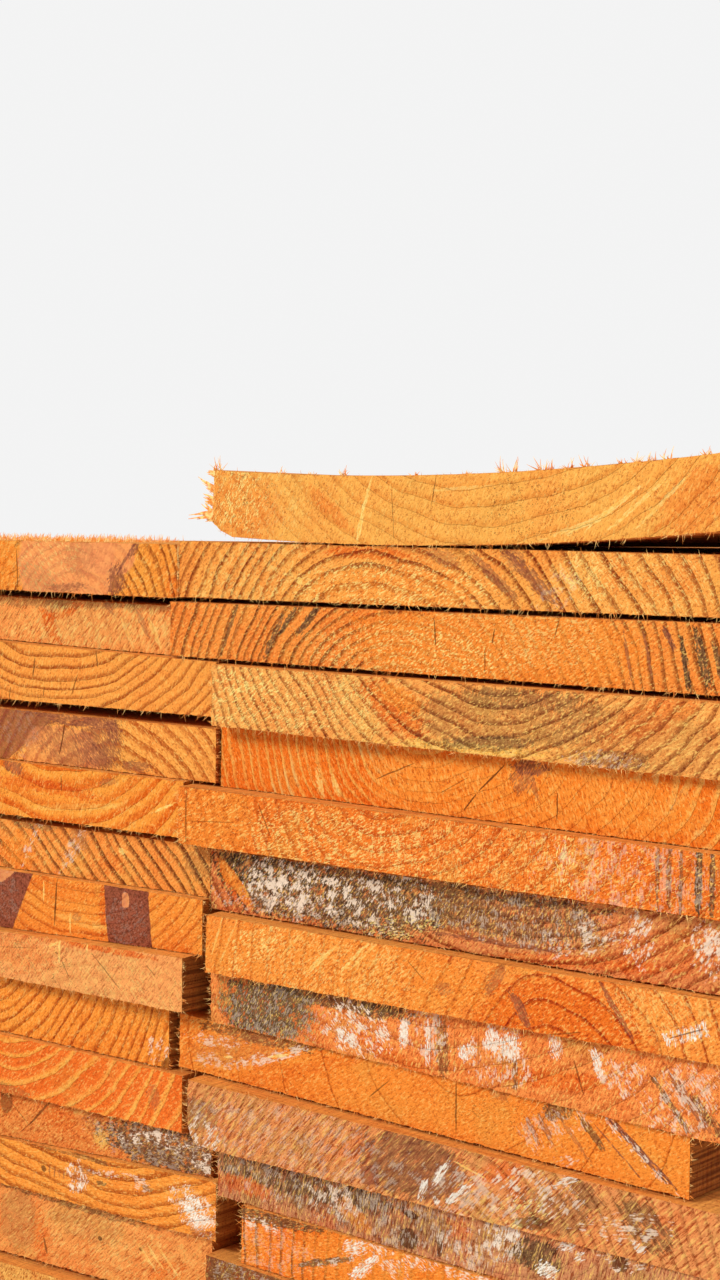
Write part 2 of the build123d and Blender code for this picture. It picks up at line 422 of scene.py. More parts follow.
FINISHES = {
    "top_board": EndFinish(
        early=(255, 178, 80), late=(224, 126, 38), pith_x=158, pith_z=126, spacing=7, rings=0.5,
        sparkle=0.15, scratches=0.1, mottle=0.2,
        marks=marks(
            (HEART, 24, 14, 24, 16, 0, 0.45), (STRAW, 18, 18, 14, 14, 0, 0.8, 60),
            (STRAW, 38, 16, 16, 12, 0, 0.4, 60), (SPECKS, 22, 18, 16, 12, 0, 0.8),
            (HEART, 76, 15, 3, 16, 52, 0.5), (GLEAM, 93, 8, 0.9, 8, -12, 1.0, 76),
            (GLEAM, 96.5, 20, 0.8, 8, -18, 0.9, 76), (CRACK, 110, 14, 0.25, 12, 4, 0.5),
            (CRACK, 131, 22, 0.3, 6, -10, 0.7), (GLEAM, 216, 15, 0.9, 14, -56, 0.8, 34),
            (GLEAM, 226, 16, 0.8, 15, -52, 0.8, 38), (GLEAM, 206, 10, 0.9, 11, -64, 0.7, 26),
            (GLEAM, 238, 18, 0.8, 14, -48, 0.7, 42), (GLEAM, 194, 6, 0.8, 11, -72, 0.6, 18),
            (HEART, 252, 18, 20, 11, 30, 0.5), (GLEAM, 144, 22.5, 14, 0.6, 4, 0.5, 4),
            (SPECKS, 178, 15, 16, 10, 0, 0.9), (SPECKS, 120, 12, 60, 12, 0, 0.35),
        )),
    "left_board_01": EndFinish(
        early=(254, 158, 58), pith_x=-78, pith_z=-48, spacing=5, rings=1.0, uneven=0.4, sparkle=0.2,
        scratch_turn=40, scratches=0.2,
        marks=marks(
            (PLAIN, -129, -12, 11, 13, 0, 0.9), (SALMON, -86, -12, 33, 20, 0, 0.95, -40),
            (SALMON, -58, -7, 18, 9, 0, 0.9, 60), (STRAW, -97, -10, 16, 9, 20, 0.5, -40),
            (STAIN, -104, -20, 14, 6, -20, 0.35, -40), (STAIN, -76, -8, 10, 10, 0, 0.3, 50),
            (STAIN, -40, -3.5, 2.2, 5, -42, 1.0, 50), (STAIN, -52, -18, 5.6, 7, -24, 1.0, 60),
            (RESIN, -46, -9, 0.8, 9, -40, 0.8, 60), (STAIN, -84, -22.6, 12, 2, 4, 0.7, 20),
            (CRACK, -119.5, -15, 0.4, 10, 3, 0.8), (CRACK, -122, -16, 0.3, 5, -70, 0.5),
            (HEART, -16, -21, 5, 4, 0, 0.7),
        )),
    "right_board_01": EndFinish(
        early=(255, 168, 74), late=(148, 62, 16), pith_x=95, pith_z=-62, right_wide=1.3, spacing=5.4,
        rings=1.0, scratch_turn=35,
        marks=marks(
            (PLAIN, 108, -18, 44, 8, 0, 0.6), (STRAW, 105, -18, 40, 7, 0, 0.9, 25),
            (STRAW, 30, -14, 26, 10, 30, 0.5, 50), (HEART, 96, -4, 22, 2.4, 0, 0.8),
            (RESIN, 160, -12, 2, 15, 52, 0.6, -40), (STAIN, 178, -12, 2.6, 15, 50, 0.9, -40),
            (STAIN, 170, -5, 6, 4, -30, 0.6, -40), (STRAW, 203, -10, 8, 6, -40, 0.8, 40),
            (BLOOM, 192, -16, 9, 5, 40, 0.2, -40), (STAIN, 135, -5, 9, 3, -20, 0.5, -20),
            (STRAW, 225, -13, 24, 11, 0, 0.6, -50), (GLEAM, 59, -16, 1.6, 1.6, 0, 1.0, 40),
        )),
    "left_board_02": EndFinish(
        early=(255, 166, 84), late=(196, 104, 44), pith_x=-150, pith_z=-64, spacing=8, rings=0.25,
        scratches=0.6, scratch_turn=50, scratch_thin=0.16, sparkle=0.4, mottle=0.2,
        marks=marks(
            (MOULD, -108, -29, 60, 3.6, 0, 0.45, 40), (MOULD, -98, -28, 9, 6, 0, 0.4, 50),
            (MOULD, -44, -28.6, 26, 4, 0, 0.4, 50), (HEART, -104, -41, 3.4, 12, 38, 1.0, -45),
            (HEART, -94, -34, 14, 3, 18, 0.9), (MOULD, -78, -40, 30, 9, 0, 0.1, 50),
            (STRAW, -66, -42, 40, 9, 0, 0.5, 48), (STRAW, -110, -46, 24, 4, 0, 0.7, 40),
            (STAIN, -42, -37, 1.6, 8, 35, 0.6, -40), (STAIN, -64, -31, 1.6, 5, 35, 0.6, -40),
            (HEART, -24, -32, 6, 3, 20, 0.7), (GLEAM, -34, -42, 1.4, 9, 32, 0.6, -50),
            (GLEAM, -52, -42, 1.2, 8, 32, 0.5, -50),
        )),
    "right_board_02": EndFinish(
        early=(252, 148, 60), late=(124, 56, 18), pith_x=112, pith_z=-84, spacing=4.9, rings=1.0,
        uneven=0.35, sparkle=0.35, scratch_turn=35,
        marks=marks(
            (HEART, 140, -40, 56, 16, 0, 1.0, 30), (PLAIN, 158, -40, 72, 17, 0, 0.85),
            (HEART, 122, -36, 30, 8, 6, 0.9), (STRAW, 112, -44, 34, 8, 0, 0.8, 30),
            (STRAW, 150, -38, 24, 10, 0, 0.6, 30), (STRAW, 190, -36, 16, 7, 0, 0.6, 20),
            (MOULD, 44, -40, 1.3, 12, -30, 0.9, 55), (MOULD, 52, -33, 1.3, 8, -38, 0.9, 50),
            (MOULD, 18, -38, 1.0, 14, -24, 0.8, 66), (MOULD, 64, -32, 1.8, 9, -44, 0.9, 50),
            (CRACK, 131, -35, 0.3, 5, 5), (CRACK, 160, -35, 0.3, 3, -10), (CRACK, 156, -45, 0.3, 5, 0, 0.7),
            (CRACK, 190, -31, 0.3, 4, -15, 0.7), (STAIN, 222, -40, 0.7, 9, 12, 0.8, -75),
            (STAIN, 231, -40, 0.7, 10, 14, 0.8, -75), (RESIN, 240, -33, 1.2, 5, 30, 0.9, -60),
            (MOULD, 247, -42, 1.3, 10, 12, 1.0, -75), (MOULD, 254, -40, 1.9, 11, 16, 1.0, -75),
            (MOULD, 261, -42, 1.2, 9, 16, 0.9, -75),
        )),
    "left_board_03": EndFinish(
        early=(255, 162, 68), late=(172, 76, 14), pith_x=-88, pith_z=22, left_wide=1.3, spacing=5.2,
        rings=0.95, uneven=0.4, band=0.28, scratches=0.15, sparkle=0.12, mottle=0.2,
        marks=marks(
            (CRACK, -108, -61, 0.4, 5, -8), (CRACK, -101, -72, 0.3, 2.5, -10),
            (CRACK, -80, -68, 0.35, 6, -22, 0.8), (CRACK, -65, -55, 0.4, 4, 10, 0.8),
            (CRACK, -125, -74, 0.3, 3, -10),
        )),
    "right_board_03": EndFinish(
        early=(255, 172, 84), late=(150, 66, 16), pith_x=158, pith_z=20, left_wide=0.9, spacing=5.2,
        rings=0.9, uneven=0.3, sparkle=0.5, scratch_turn=30,
        marks=marks(
            (STRAW, 46, -66, 34, 10, 0, 0.9, 35), (STRAW, 32, -62, 14, 6, 0, 0.9, 35),
            (STRAW, 92, -68, 9, 12, 30, 0.7, 40), (HEART, 112, -66, 20, 8, -30, 0.9),
            (PLAIN, 116, -62, 12, 5, -20, 0.8), (PALE, 150, -80, 40, 2.4, 0, 1.0, 0),
            (MOULD, 168, -67, 44, 12, 4, 0.4, 70), (MOULD, 178, -59, 26, 4, 0, 0.4, 70),
            (MOULD, 160, -77, 22, 2.4, 4, 0.6, 80), (MOULD, 228, -72, 40, 12, 0, 0.22, 45),
            (MOULD, 218, -79, 16, 3, 0, 0.5, 40), (BLOOM, 212, -79.5, 12, 2.6, 0, 0.3, 50),
            (HEART, 235, -62, 22, 6, 20, 0.6, 45), (SPECKS, 60, -68, 50, 11, 0, 0.6),
        )),
    "left_board_04": EndFinish(
        early=(255, 168, 74), late=(190, 86, 22), pith_x=-58, pith_z=-148, spacing=6.2, rings=1.0,
        uneven=0.3, band=0.32, scratch_turn=-38, scratches=0.15, mottle=0.2,
        marks=marks(
            (STAIN, -66, -93, 14, 16, -16, 0.9, -50), (KNOT, -117.5, -84, 34, 12, 34, 0.75),
            (STAIN, -82, -84.6, 27, 2.6, -3, 1.0, 0), (STAIN, -116, -90, 18, 10, 0, 0.4, 20),
            (SALMON, -92, -104, 26, 16, 0, 0.5, 40), (STAIN, -88, -98, 18, 9, -10, 0.6, -50),
            (STAIN, -111, -94.5, 0.8, 12, -54, 0.6, 40), (STAIN, -90, -86.6, 14, 0.8, 0, 0.6, 0),
            (STAIN, -72, -93, 0.9, 9, 54, 0.8, -40), (CRACK, -91, -94, 0.5, 8, -14),
            (STAIN, -66, -100, 6, 5, 0, 0.8, -40), (STAIN, -57, -88, 4, 5, 30, 0.8, -50),
            (STAIN, -42, -103, 9, 2.6, 0, 0.8, 0), (BLOOM, -120, -93, 10, 8, 0, 0.1),
            (CHIP, 14, -95, 1.0, 10, 4, 0.8), (CHIP, 17, -102, 3, 4, 0, 0.8),
        )),
    "right_board_04": EndFinish(
        early=(246, 122, 30), late=(255, 192, 92), pith_x=118, pith_z=-70, right_wide=1.8, spacing=4.8,
        uneven=0.35, band=0.24, scratch_turn=-68, scratches=0.35, sparkle=0.15,
        marks=marks(
            (PLAIN, 178, -98, 76, 15), (PLAIN, 118, -97, 24, 14, 0, 0.7),
            (HEART, 150, -100, 46, 8, 0, 0.7, -60), (STAIN, 176, -86, 9, 3, 0, 1.0, 60),
            (STAIN, 172, -91, 5, 5, -30, 0.7, 60), (STAIN, 178, -93, 1.2, 6, 20, 0.6, 60),
            (GLEAM, 67, -101, 1.6, 6, 20, 0.8, -70), (GLEAM, 76, -102, 1.6, 5, 24, 0.8, -70),
            (CRACK, 157, -92, 0.4, 9, -48), (CRACK, 147, -102, 0.35, 5, -40),
            (CRACK, 108, -93, 0.3, 11, -68, 0.8), (CRACK, 139, -96, 0.25, 9, -62, 0.6),
            (CRACK, 189, -100, 0.3, 5.5), (CRACK, 222, -96, 0.3, 3, 30, 0.5),
            (PALE, 244, -92, 2, 10, -30, 0.6, 60), (HEART, 226, -98, 20, 5, 24, 0.5, 24),
        )),
    "left_board_05": EndFinish(
        early=(255, 160, 58), late=(228, 98, 10), pith_x=-95, pith_z=-22, spacing=8, rings=1.0, band=0.4,
        scratches=0.1, sparkle=0.1, mottle=0.15,
        marks=marks(
            (STAIN, -122, -109, 7, 3.4, -20, 0.9), (CRACK, -88, -114, 0.4, 4, 4, 0.8),
            (HEART, -96, -117, 34, 3, -3, 0.8, 0), (STAIN, -56, -111, 6, 2, 10, 0.5),
            (GLEAM, -19, -119, 8, 0.6, 22, 1.0, 22), (PALE, -74, -124, 40, 1.6, 6, 0.6, 6),
            (SPECKS, -60, -112, 20, 6, 0, 0.7),
        )),
    "right_board_05": EndFinish(
        early=(248, 128, 40), late=(196, 80, 18), pith_x=105, pith_z=-92, right_wide=1.6, spacing=6.4,
        rings=0.6, sparkle=0.6, scratch_turn=30,
        marks=marks(
            (PLAIN, 16, -121, 24, 14, 0, 0.7), (CRACK, -1.5, -121, 0.4, 13, 0, 0.7),
            (CRACK, 14, -122, 0.2, 14, -86, 0.6), (STRAW, 84, -124, 34, 9, 0, 0.8, 25),
            (STRAW, 160, -121, 40, 11, 0, 0.5, 80), (STRAW, 198, -122, 3, 9, 0, 0.8, 80),
            (HEART, 110, -118, 40, 6, 0, 0.5), (CRACK, 45, -119, 0.4, 9, 28, 0.6),
            (MOULD, 239, -121, 0.9, 12, 0, 0.7, 90), (MOULD, 244, -121, 1.0, 12, 0, 0.7, 90),
            (MOULD, 249, -122, 0.8, 12, 0, 0.7, 90), (MOULD, 256.5, -120, 1.5, 13, 0, 1.0, 90),
            (MOULD, 262, -121, 1.2, 13, 0, 0.9, 90), (BLOOM, 228, -121, 28, 12, 0, 0.3, 90),
        )),
    "left_board_06": EndFinish(
        early=(255, 160, 70), late=(120, 54, 16), pith_x=-330, pith_z=-440, spacing=5.6, rings=1.0,
        uneven=0.4, band=0.28, sparkle=0.25, scratch_turn=45, scratches=0.2,
        marks=marks(
            (PLAIN, -122, -150, 11, 9, 0, 0.7), (HEART, -124, -152, 14, 6, 0, 0.8),
            (BLOOM, -113, -144, 2.6, 9, -30, 0.6, 55), (STAIN, -81, -140, 7, 5, -40, 0.5, 50),
            (BLOOM, -84, -145, 3, 11, -44, 0.5, 45), (HEART, -60, -150, 9, 5, 0, 0.5),
            (MOULD, -2, -143, 11, 8, 0, 0.4, -60), (MOULD, -112, -137, 16, 1.8, 0, 0.6),
            (GLEAM, -52, -143, 2.4, 1.4, 0, 0.9),
        )),
    "right_board_06": EndFinish(
        early=(232, 142, 80), late=(150, 66, 24), pith_x=165, pith_z=-20, spacing=5.5, rings=0.9,
        scratches=0.6, dirt=0.3, sparkle=0.4, scratch_turn=50,
        marks=marks(
            (MOULD, 74, -148, 60, 14, 0, 1.0, 48), (MOULD, 40, -141, 34, 7, 0, 1.0, 48),
            (MOULD, 166, -146, 44, 9, 0, 0.75, 88), (MOULD, 150, -138, 60, 2.4, 0, 0.8, 0),
            (STAIN, 160, -156.5, 36, 1, 0, 1.0, 0), (BLOOM, 44, -147, 16, 9, -20, 1.0, 48),
            (BLOOM, 66, -145, 12, 9, 0, 1.0, 52), (BLOOM, 94, -146, 9, 11, 0, 0.9, 60),
            (BLOOM, 118, -143, 9, 9, 0, 0.9, 70), (MOULD, 86, -151, 14, 8, -20, 0.7, 30),
            (HEART, 18, -149, 15, 4, -42), (PLAIN, 19, -149, 14, 3.2, -42, 0.9),
            (STRAW, 112, -157, 14, 3, 10, 0.9, 10), (BLOOM, 168, -146, 36, 8, 0, 0.4, 88),
            (BLOOM, 228, -146, 5, 8, 0, 0.9, 60), (BLOOM, 258, -146, 7, 7, 0, 0.9, 60),
            (BLOOM, 204, -150, 14, 4, 14, 0.7, 30), (HEART, 240, -150, 30, 8, 12, 0.45, 30),
            (BLOOM, 60, -156, 40, 4, 0, 0.5, 30), (HEART, 200, -159, 40, 2.4, 4, 0.6, 4),
        )),
    "left_board_07": EndFinish(
        early=(254, 150, 54), late=(206, 92, 18), pith_x=-80, pith_z=-100, spacing=5.4, rings=0.8,
        sparkle=0.2, scratch_turn=38, scratches=0.2,
        marks=marks(
            (HEART, -60.5, -171, 2.4, 13, 0, 0.9), (HEART, -90, -164, 26, 5, 0, 0.7),
            (PLAIN, -84, -171, 21, 13, 0, 0.5), (KNOT, -44, -171, 14.4, 18, 6),
            (SALMON, -45.5, -164.5, 2.4, 3.4, 0, 0.9), (KNOT, -137, -160, 25, 40, -27.5),
            (SALMON, -131, -161, 13, 4, 30, 0.9), (CRACK, -92.5, -171, 0.5, 11, -4),
            (GLEAM, -101, -166, 0.5, 5, 0, 0.9, 90), (STAIN, -78, -176, 3, 2, 0, 0.5),
            (PALE, -75, -178, 18, 2.4, -4, 0.8, 0), (BLOOM, -44, -174, 10, 9, 0, 0.12),
            (BLOOM, -126, -173, 6, 9, 0, 0.12), (GLEAM, -82.5, -180, 0.5, 5, 0, 1.0, 90),
        )),
    "right_board_07": EndFinish(
        early=(254, 150, 60), late=(186, 66, 10), pith_x=195, pith_z=-201.5, spacing=9.5, rings=1.0,
        uneven=0.0, band=0.11, scratch_turn=40, scratches=0.4,
        marks=marks(
            (HEART, 195, -184, 38, 18, 0, 1.0, 30), (PLAIN, 84, -176, 80, 14, 0, 0.75),
            (STAIN, 178, -180, 2.4, 8, 36, 0.9, -50), (STAIN, 166, -170, 2.4, 8, -34, 0.6, 50),
            (RESIN, 222, -174, 1.2, 12, 38, 0.7, -50), (STAIN, 141, -177, 4, 2.4, 0, 0.5),
            (CRACK, 198, -186, 0.3, 9, -78, 0.6), (GLEAM, 94, -171, 0.7, 11, -46, 0.8, 44),
            (GLEAM, 99, -170, 0.5, 9, -48, 0.8, 42), (GLEAM, 78, -173, 0.7, 11, -48, 0.8, 42),
            (GLEAM, 73, -176, 0.5, 9, -48, 0.7, 42), (STRAW, 32, -177, 4, 9, -36, 0.9, 45),
            (STRAW, 46, -170, 3, 9, -38, 0.9, 45), (GLEAM, 60, -170, 0.6, 9, -46, 0.6, 45),
            (GLEAM, 17, -172, 0.5, 10, -20, 0.7, 70), (GLEAM, 24, -173, 0.5, 12, -26, 0.6, 64),
            (STRAW, 80, -174, 30, 12, 0, 0.6, 44), (CRACK, 127, -172, 0.25, 6, 52, 0.6),
            (STRAW, 244, -170, 18, 8, 0, 0.5, -60),
            *((PAINT, 244 + 2.6 * step, -181 + 1.1 * step, 1.1, 2.4, 26, 1.0, 90) for step in range(7)),
            (CRACK, 252, -177.4, 9, 0.3, 22, 0.8),
        )),
    "left_board_08": EndFinish(
        early=(252, 166, 92), late=(222, 124, 60), pith_x=-40, pith_z=-330, rings=0.3, scratch_turn=48,
        scratch_thin=0.18, scratches=0.4, sparkle=0.1, mottle=0.06,
        marks=marks(
            (CRACK, -51, -196, 0.3, 13, 54, 0.7), (CRACK, -78, -199, 0.3, 5.5, 35, 0.8),
            (CRACK, -21, -192, 0.3, 3.5, 55, 0.6), (HEART, -112, -196, 26, 9, 0, 0.45, 10),
            (CRACK, -112, -194, 0.2, 16, -84, 0.4), (HEART, -84, -187, 30, 2, 0, 0.5),
            (HEART, -50, -186.5, 30, 1.6, 0, 0.9), (STRAW, -60, -200, 50, 10, 0, 0.35, -45),
            (GLEAM, -82, -189, 0.6, 8, 0, 1.0, 90), (GLEAM, -86, -189, 4, 0.8, 20, 0.8, 20),
            (GLEAM, -63, -187, 0.5, 3, 0, 0.9, 90), (SPECKS, -110, -200, 26, 10, 0, 0.9),
            (SPECKS, -45, -198, 34, 12, 0, 0.5),
        )),
    "right_board_08": EndFinish(
        early=(250, 146, 70), late=(190, 88, 34), pith_x=120, pith_z=-60, spacing=9, rings=0.5,
        scratches=0.5, dirt=0.2, sparkle=0.35,
        marks=marks(
            (MOULD, 42, -200, 26, 13, 4, 1.0, 60), (MOULD, 76, -192, 44, 3.4, 0, 0.9, 40),
            (MOULD, 40, -201, 22, 11, 4, 0.9, 60), (BLOOM, 46, -202, 22, 9, 4, 0.3, 60),
            (PAINT, 86, -206, 5, 2.4, -20, 1.0, -50), (BLOOM, 92, -202, 13, 8, 0, 1.0, -45),
            (MOULD, 104, -192, 14, 4, 10, 0.8, 30), (PAINT, 117, -200, 2.0, 4.4, -10, 1.0, 80),
            (PAINT, 129.5, -202, 1.3, 8, 0, 0.9, 90), (MOULD, 137, -202, 3, 12, 4, 0.7, 90),
            (BLOOM, 128, -197, 9, 8, 0, 0.6, 90), (PAINT, 149, -202, 3.4, 2.6, 0, 1.0, 90),
            (PAINT, 162, -195, 3.4, 4.4, 0, 0.9, 90), (PAINT, 170, -196, 4.4, 5, 0, 1.0, 90),
            (BLOOM, 164, -204, 12, 7, 0, 0.7, 90), (PAINT, 192, -193, 2.6, 3.6, 10, 0.8, -75),
            (PAINT, 211, -196, 1.8, 5, 18, 0.9, -70), (BLOOM, 222, -199, 9, 6, 0, 0.7, -60),
            (MOULD, 173, -207, 1.4, 6, 0, 0.7, 90), (STAIN, 252, -204, 2.0, 14, 42, 0.9, -50),
            (MOULD, 244, -206, 1.2, 13, 42, 0.8, -50), (MOULD, 260, -208, 2.0, 10, 44, 0.8, -50),
            (BLOOM, 250, -204, 12, 9, 40, 0.6, -50), (HEART, 190, -206, 30, 4, 4, 0.8),
            (HEART, 108, -209, 22, 3, -14, 0.8), (CRACK, 203, -203, 0.4, 7, 20, 0.7),
            *((CRACK, 131 + 12 * step, -201, 0.25, 11, 0, 0.4) for step in range(4)),
        )),
    "left_board_09": EndFinish(
        early=(255, 154, 54), late=(186, 80, 12), pith_x=-160, pith_z=-165, spacing=5.4, rings=1.0,
        uneven=0.4, sparkle=0.15, scratch_turn=50, scratches=0.2, mottle=0.2,
        marks=marks(
            (BLOOM, -25, -230, 5, 4, 0, 0.7), (CHIP, -19, -236, 5, 3, 20, 0.7),
            (SPECKS, -40, -217, 16, 5, 0, 0.9), (CHIP, -18, -220, 1.0, 8, 4, 0.7),
            (HEART, -60, -232, 30, 5, 10, 0.4),
        )),
    "right_board_09": EndFinish(
        early=(250, 144, 50), late=(206, 92, 14), pith_x=143, pith_z=-196, spacing=25.5, rings=0.9,
        uneven=0.0, band=0.03, scratch_turn=35, scratches=0.25, sparkle=0.15, mottle=0.3,
        marks=marks(
            (MOULD, 34, -215, 34, 3.0, 0, 0.75, 10), (STAIN, 22, -222, 30, 7, 14, 0.35, 10),
            (BLOOM, 8, -221, 14, 2, 4, 0.6, 6), (BLOOM, 16, -229, 16, 2.4, 6, 0.5, 8),
            (BLOOM, 40, -223, 18, 1.8, 18, 0.7, 20), (GLEAM, 16, -227, 3, 0.6, 10, 0.9, 10),
            (GLEAM, 46, -221.5, 6, 0.6, 14, 0.9, 14), (HEART, 70, -222, 30, 3, 20, 0.5, 25),
            (CRACK, 142.5, -225, 0.4, 12, 1, 0.8), (CRACK, 102, -226, 0.3, 7, -50, 0.8),
            (MOULD, 192, -218, 7, 4, 20, 0.8, -50), (MOULD, 208, -224, 1.6, 8, 46, 0.8, -50),
            (BLOOM, 199, -220, 7, 4, 30, 0.6, -50), (STAIN, 198, -226, 1.0, 14, 44, 0.6, -46),
            (RESIN, 226, -225, 0.7, 18, 54, 1.0, -36), (RESIN, 231, -227, 0.8, 18, 54, 1.0, -36),
            (BLOOM, 228, -227, 1.4, 16, 54, 0.8, -36), (RESIN, 220, -229, 0.4, 14, 52, 0.8, -38),
            (STAIN, 186, -226, 1.4, 7, 34, 0.8, -55), (STAIN, 180, -228, 1.2, 6, 34, 0.8, -55),
            (STAIN, 164, -217, 5, 2.4, 0, 0.5, -60), (BLOOM, 184, -227, 7, 6, 30, 0.4, -55),
            (SPECKS, 166, -222, 22, 7, 0, 0.7), (BLOOM, 198, -237, 5, 1.6, 10, 0.7),
        )),
    "left_board_10": EndFinish(
        early=(246, 118, 38), late=(255, 176, 76), pith_x=-130, pith_z=-183, spacing=7.4, rings=1.0,
        uneven=0.6, band=0.24, sparkle=0.12, scratch_turn=40, scratches=0.15, mottle=0.3,
        marks=marks(
            (STAIN, -26, -251, 4, 6, 20, 0.5, 50), (MOULD, -124, -266, 14, 3, 0, 0.4),
            (HEART, -120, -246, 34, 6, 0, 0.4), (HEART, -80, -250, 20, 6, 20, 0.4),
            (SPECKS, -60, -252, 50, 11, 0, 0.4),
        )),
    "right_board_10": EndFinish(
        early=(238, 154, 88), late=(158, 88, 40), pith_x=140, pith_z=-302, spacing=4.6, rings=0.6,
        scratch_turn=46, scratch_thin=0.14, scratches=0.8, dirt=0.3, sparkle=0.35,
        marks=marks(
            (MOULD, 8, -252, 10, 7, 0, 0.5), (BLOOM, 6, -261, 11, 5, 0, 0.9),
            (MOULD, 126, -252, 24, 13, 0, 0.7, 48), (STAIN, 126, -252, 26, 13, 0, 0.6, 48),
            (KNOT, 104, -260, 4.6, 4, 10, 0.7), (PAINT, 140, -252, 1.3, 5.4, -36, 1.0, 54),
            (PAINT, 150, -258, 1.5, 6, -50, 1.0, 40), (PAINT, 146, -261, 1.0, 3, -40, 1.0, 50),
            (PAINT, 131.5, -260, 1.4, 3.4, -30, 0.9, 60), (PAINT, 130, -264, 1.6, 1.4, -30, 1.0, 60),
            (PAINT, 138, -264, 1.6, 1.4, -30, 0.9, 60), (GLEAM, 155, -248, 8, 0.4, -14, 0.8, -14),
            (PAINT, 200, -243, 5, 1.6, 30, 0.8, 24), (MOULD, 236, -253, 12, 7, -30, 0.7, -44),
            (PAINT, 233, -262, 2.2, 1.6, 0, 0.8), (BLOOM, 226, -256, 14, 4, 10, 0.7, 10),
            (HEART, 168, -246, 14, 4, 20, 0.6), (STRAW, 180, -260, 9, 4, 10, 0.9, 40),
            (CHIP, 184, -263, 8, 2.4, 10, 0.7), (MOULD, 194, -256, 16, 8, 0, 0.5, 48),
            (BLOOM, 188, -250, 14, 6, 0, 0.7, 48), (MOULD, 208, -246, 9, 4, -30, 0.6, -40),
            (BLOOM, 160, -258, 20, 8, 0, 0.5, 48), (BLOOM, 60, -254, 50, 10, 0, 0.3, 46),
            (SPECKS, 60, -254, 60, 11, 0, 0.9),
        )),
    "left_board_11": EndFinish(
        early=(240, 140, 64), late=(196, 100, 38), pith_x=-60, pith_z=-400, spacing=8, rings=0.25,
        scratches=0.6, dirt=0.15, scratch_turn=40, sparkle=0.2,
        marks=marks(
            (MOULD, -20, -275, 40, 9.5, 0, 1.0, 10), (STAIN, -20, -275, 40, 9.5, 0, 0.3, 10),
            (MOULD, -22, -278, 36, 5, 0, 0.5, 0), (MOULD, -66, -273, 9, 6, 0, 0.3, 10),
            (PALE, -64, -279, 6, 5, -30, 0.8), (BLOOM, -36, -273, 13, 2.2, 12, 1.0, 14),
            (BLOOM, -18, -273, 8, 2.0, 0, 0.9, 10), (BLOOM, 3, -277, 9, 3.6, 0, 1.0, 20),
            (BLOOM, -30, -276, 30, 7, 0, 0.3, 0), (CRACK, -106, -274, 0.6, 12, -46, 0.8),
            (CRACK, -116, -283, 0.3, 7, -52, 0.6), (CRACK, -122, -277, 0.3, 12, 56, 0.5),
            (CHIP, -131, -273, 5, 6, 0, 0.6), (HEART, -92, -275, 12, 6, 0, 0.5),
        )),
    "right_board_11": EndFinish(
        early=(212, 142, 94), late=(140, 82, 50), pith_x=160, pith_z=-218, spacing=5, rings=0.3,
        scratch_turn=74, scratch_thin=0.2, scratches=0.8, dirt=0.4, sparkle=0.4,
        marks=marks(
            (MOULD, 64, -273, 50, 6, 0, 0.9, 70), (MOULD, 110, -278, 34, 10, 0, 0.5, 80),
            (HEART, 30, -281, 16, 4, 0, 0.7, 90), (MOULD, 66, -278, 22, 6, 0, 0.5, 60),
            (BLOOM, 52, -274, 28, 7, 0, 0.4, 60), (BLOOM, 80, -276, 10, 6, 0, 0.7, 60),
            (PLAIN, 92, -281, 11, 4.4, -30, 0.6), (CHIP, 122, -274, 4, 1.6),
            (CHIP, 121, -284, 5, 4.6, 0, 0.9), (CHIP, 137, -284, 1.6, 4, 0, 0.8),
            (CHIP, 102, -272, 1.6, 4, 10, 0.6), (BLOOM, 110, -276, 34, 9, 0, 0.4, 80),
            (HEART, 146, -275, 7, 4, 0, 0.5), (BLOOM, 152, -282, 12, 6, 0, 0.5, 80),
            (PAINT, 172, -270, 4, 3, 0, 0.9, 70), (PAINT, 165, -275, 2, 3, 0, 0.9, 80),
            (BLOOM, 168, -274, 8, 6, 0, 0.8, 70), (PAINT, 190, -281, 4, 2.6, 0, 1.0, 40),
            (MOULD, 184, -276, 12, 6, 0, 0.9, 60), (PAINT, 199, -269, 3, 2, 10, 0.9, 30),
            (PAINT, 205, -272, 2, 1.6, 10, 0.9, 30), (CHIP, 223, -271, 4, 3, 0, 0.8),
            (BLOOM, 226, -269, 10, 3, 10, 0.8, 20), (SPECKS, 100, -278, 70, 10, 0, 0.9),
        )),
    "left_board_12": EndFinish(
        early=(255, 158, 60), late=(176, 76, 10), pith_x=-62, pith_z=-150, left_wide=1.5, spacing=5.6,
        rings=1.0, band=0.3, sparkle=0.15, scratch_turn=10, scratches=0.2, mottle=0.25,
        marks=marks(
            (STAIN, -76, -299, 5, 6, 0, 0.5, 80), (BLOOM, -77, -299, 5, 6, 0, 1.0, 80),
            (PAINT, -76, -302, 2, 2.6, 0, 0.9, 80), (STAIN, -70, -295, 5, 2, 0, 0.7),
            (MOULD, -61, -299, 3, 1.0, 0, 0.8, 0), (BLOOM, -54, -293, 14, 1.2, 6, 0.6, 6),
            (BLOOM, -34, -294, 5, 2.4, 0, 0.6, 0), (MOULD, -31, -295, 4, 1.2, 0, 0.7, 10),
            (BLOOM, -10, -295, 4, 5, 0, 0.8, 60), (BLOOM, 2, -300, 12, 7, -30, 0.9, 40),
            (PAINT, -2, -297, 5, 5, 30, 1.0, 40), (PAINT, 3, -302, 4, 4, 30, 0.7, 40),
            (STAIN, 4, -308, 9, 2, 0, 0.6), (CHIP, -101, -300, 1.6, 1.6, 0, 0.8),
            *((STAIN, -97 + 3.4 * step, -300, 0.5, 2.4, 0, 0.8, 90) for step in range(4)),
            (MOULD, -88, -289, 34, 1.2, 0, 0.6, 0),
        )),
    "right_board_12": EndFinish(
        early=(252, 134, 42), late=(116, 52, 14), pith_x=420, pith_z=-305, spacing=6.6, uneven=0.3,
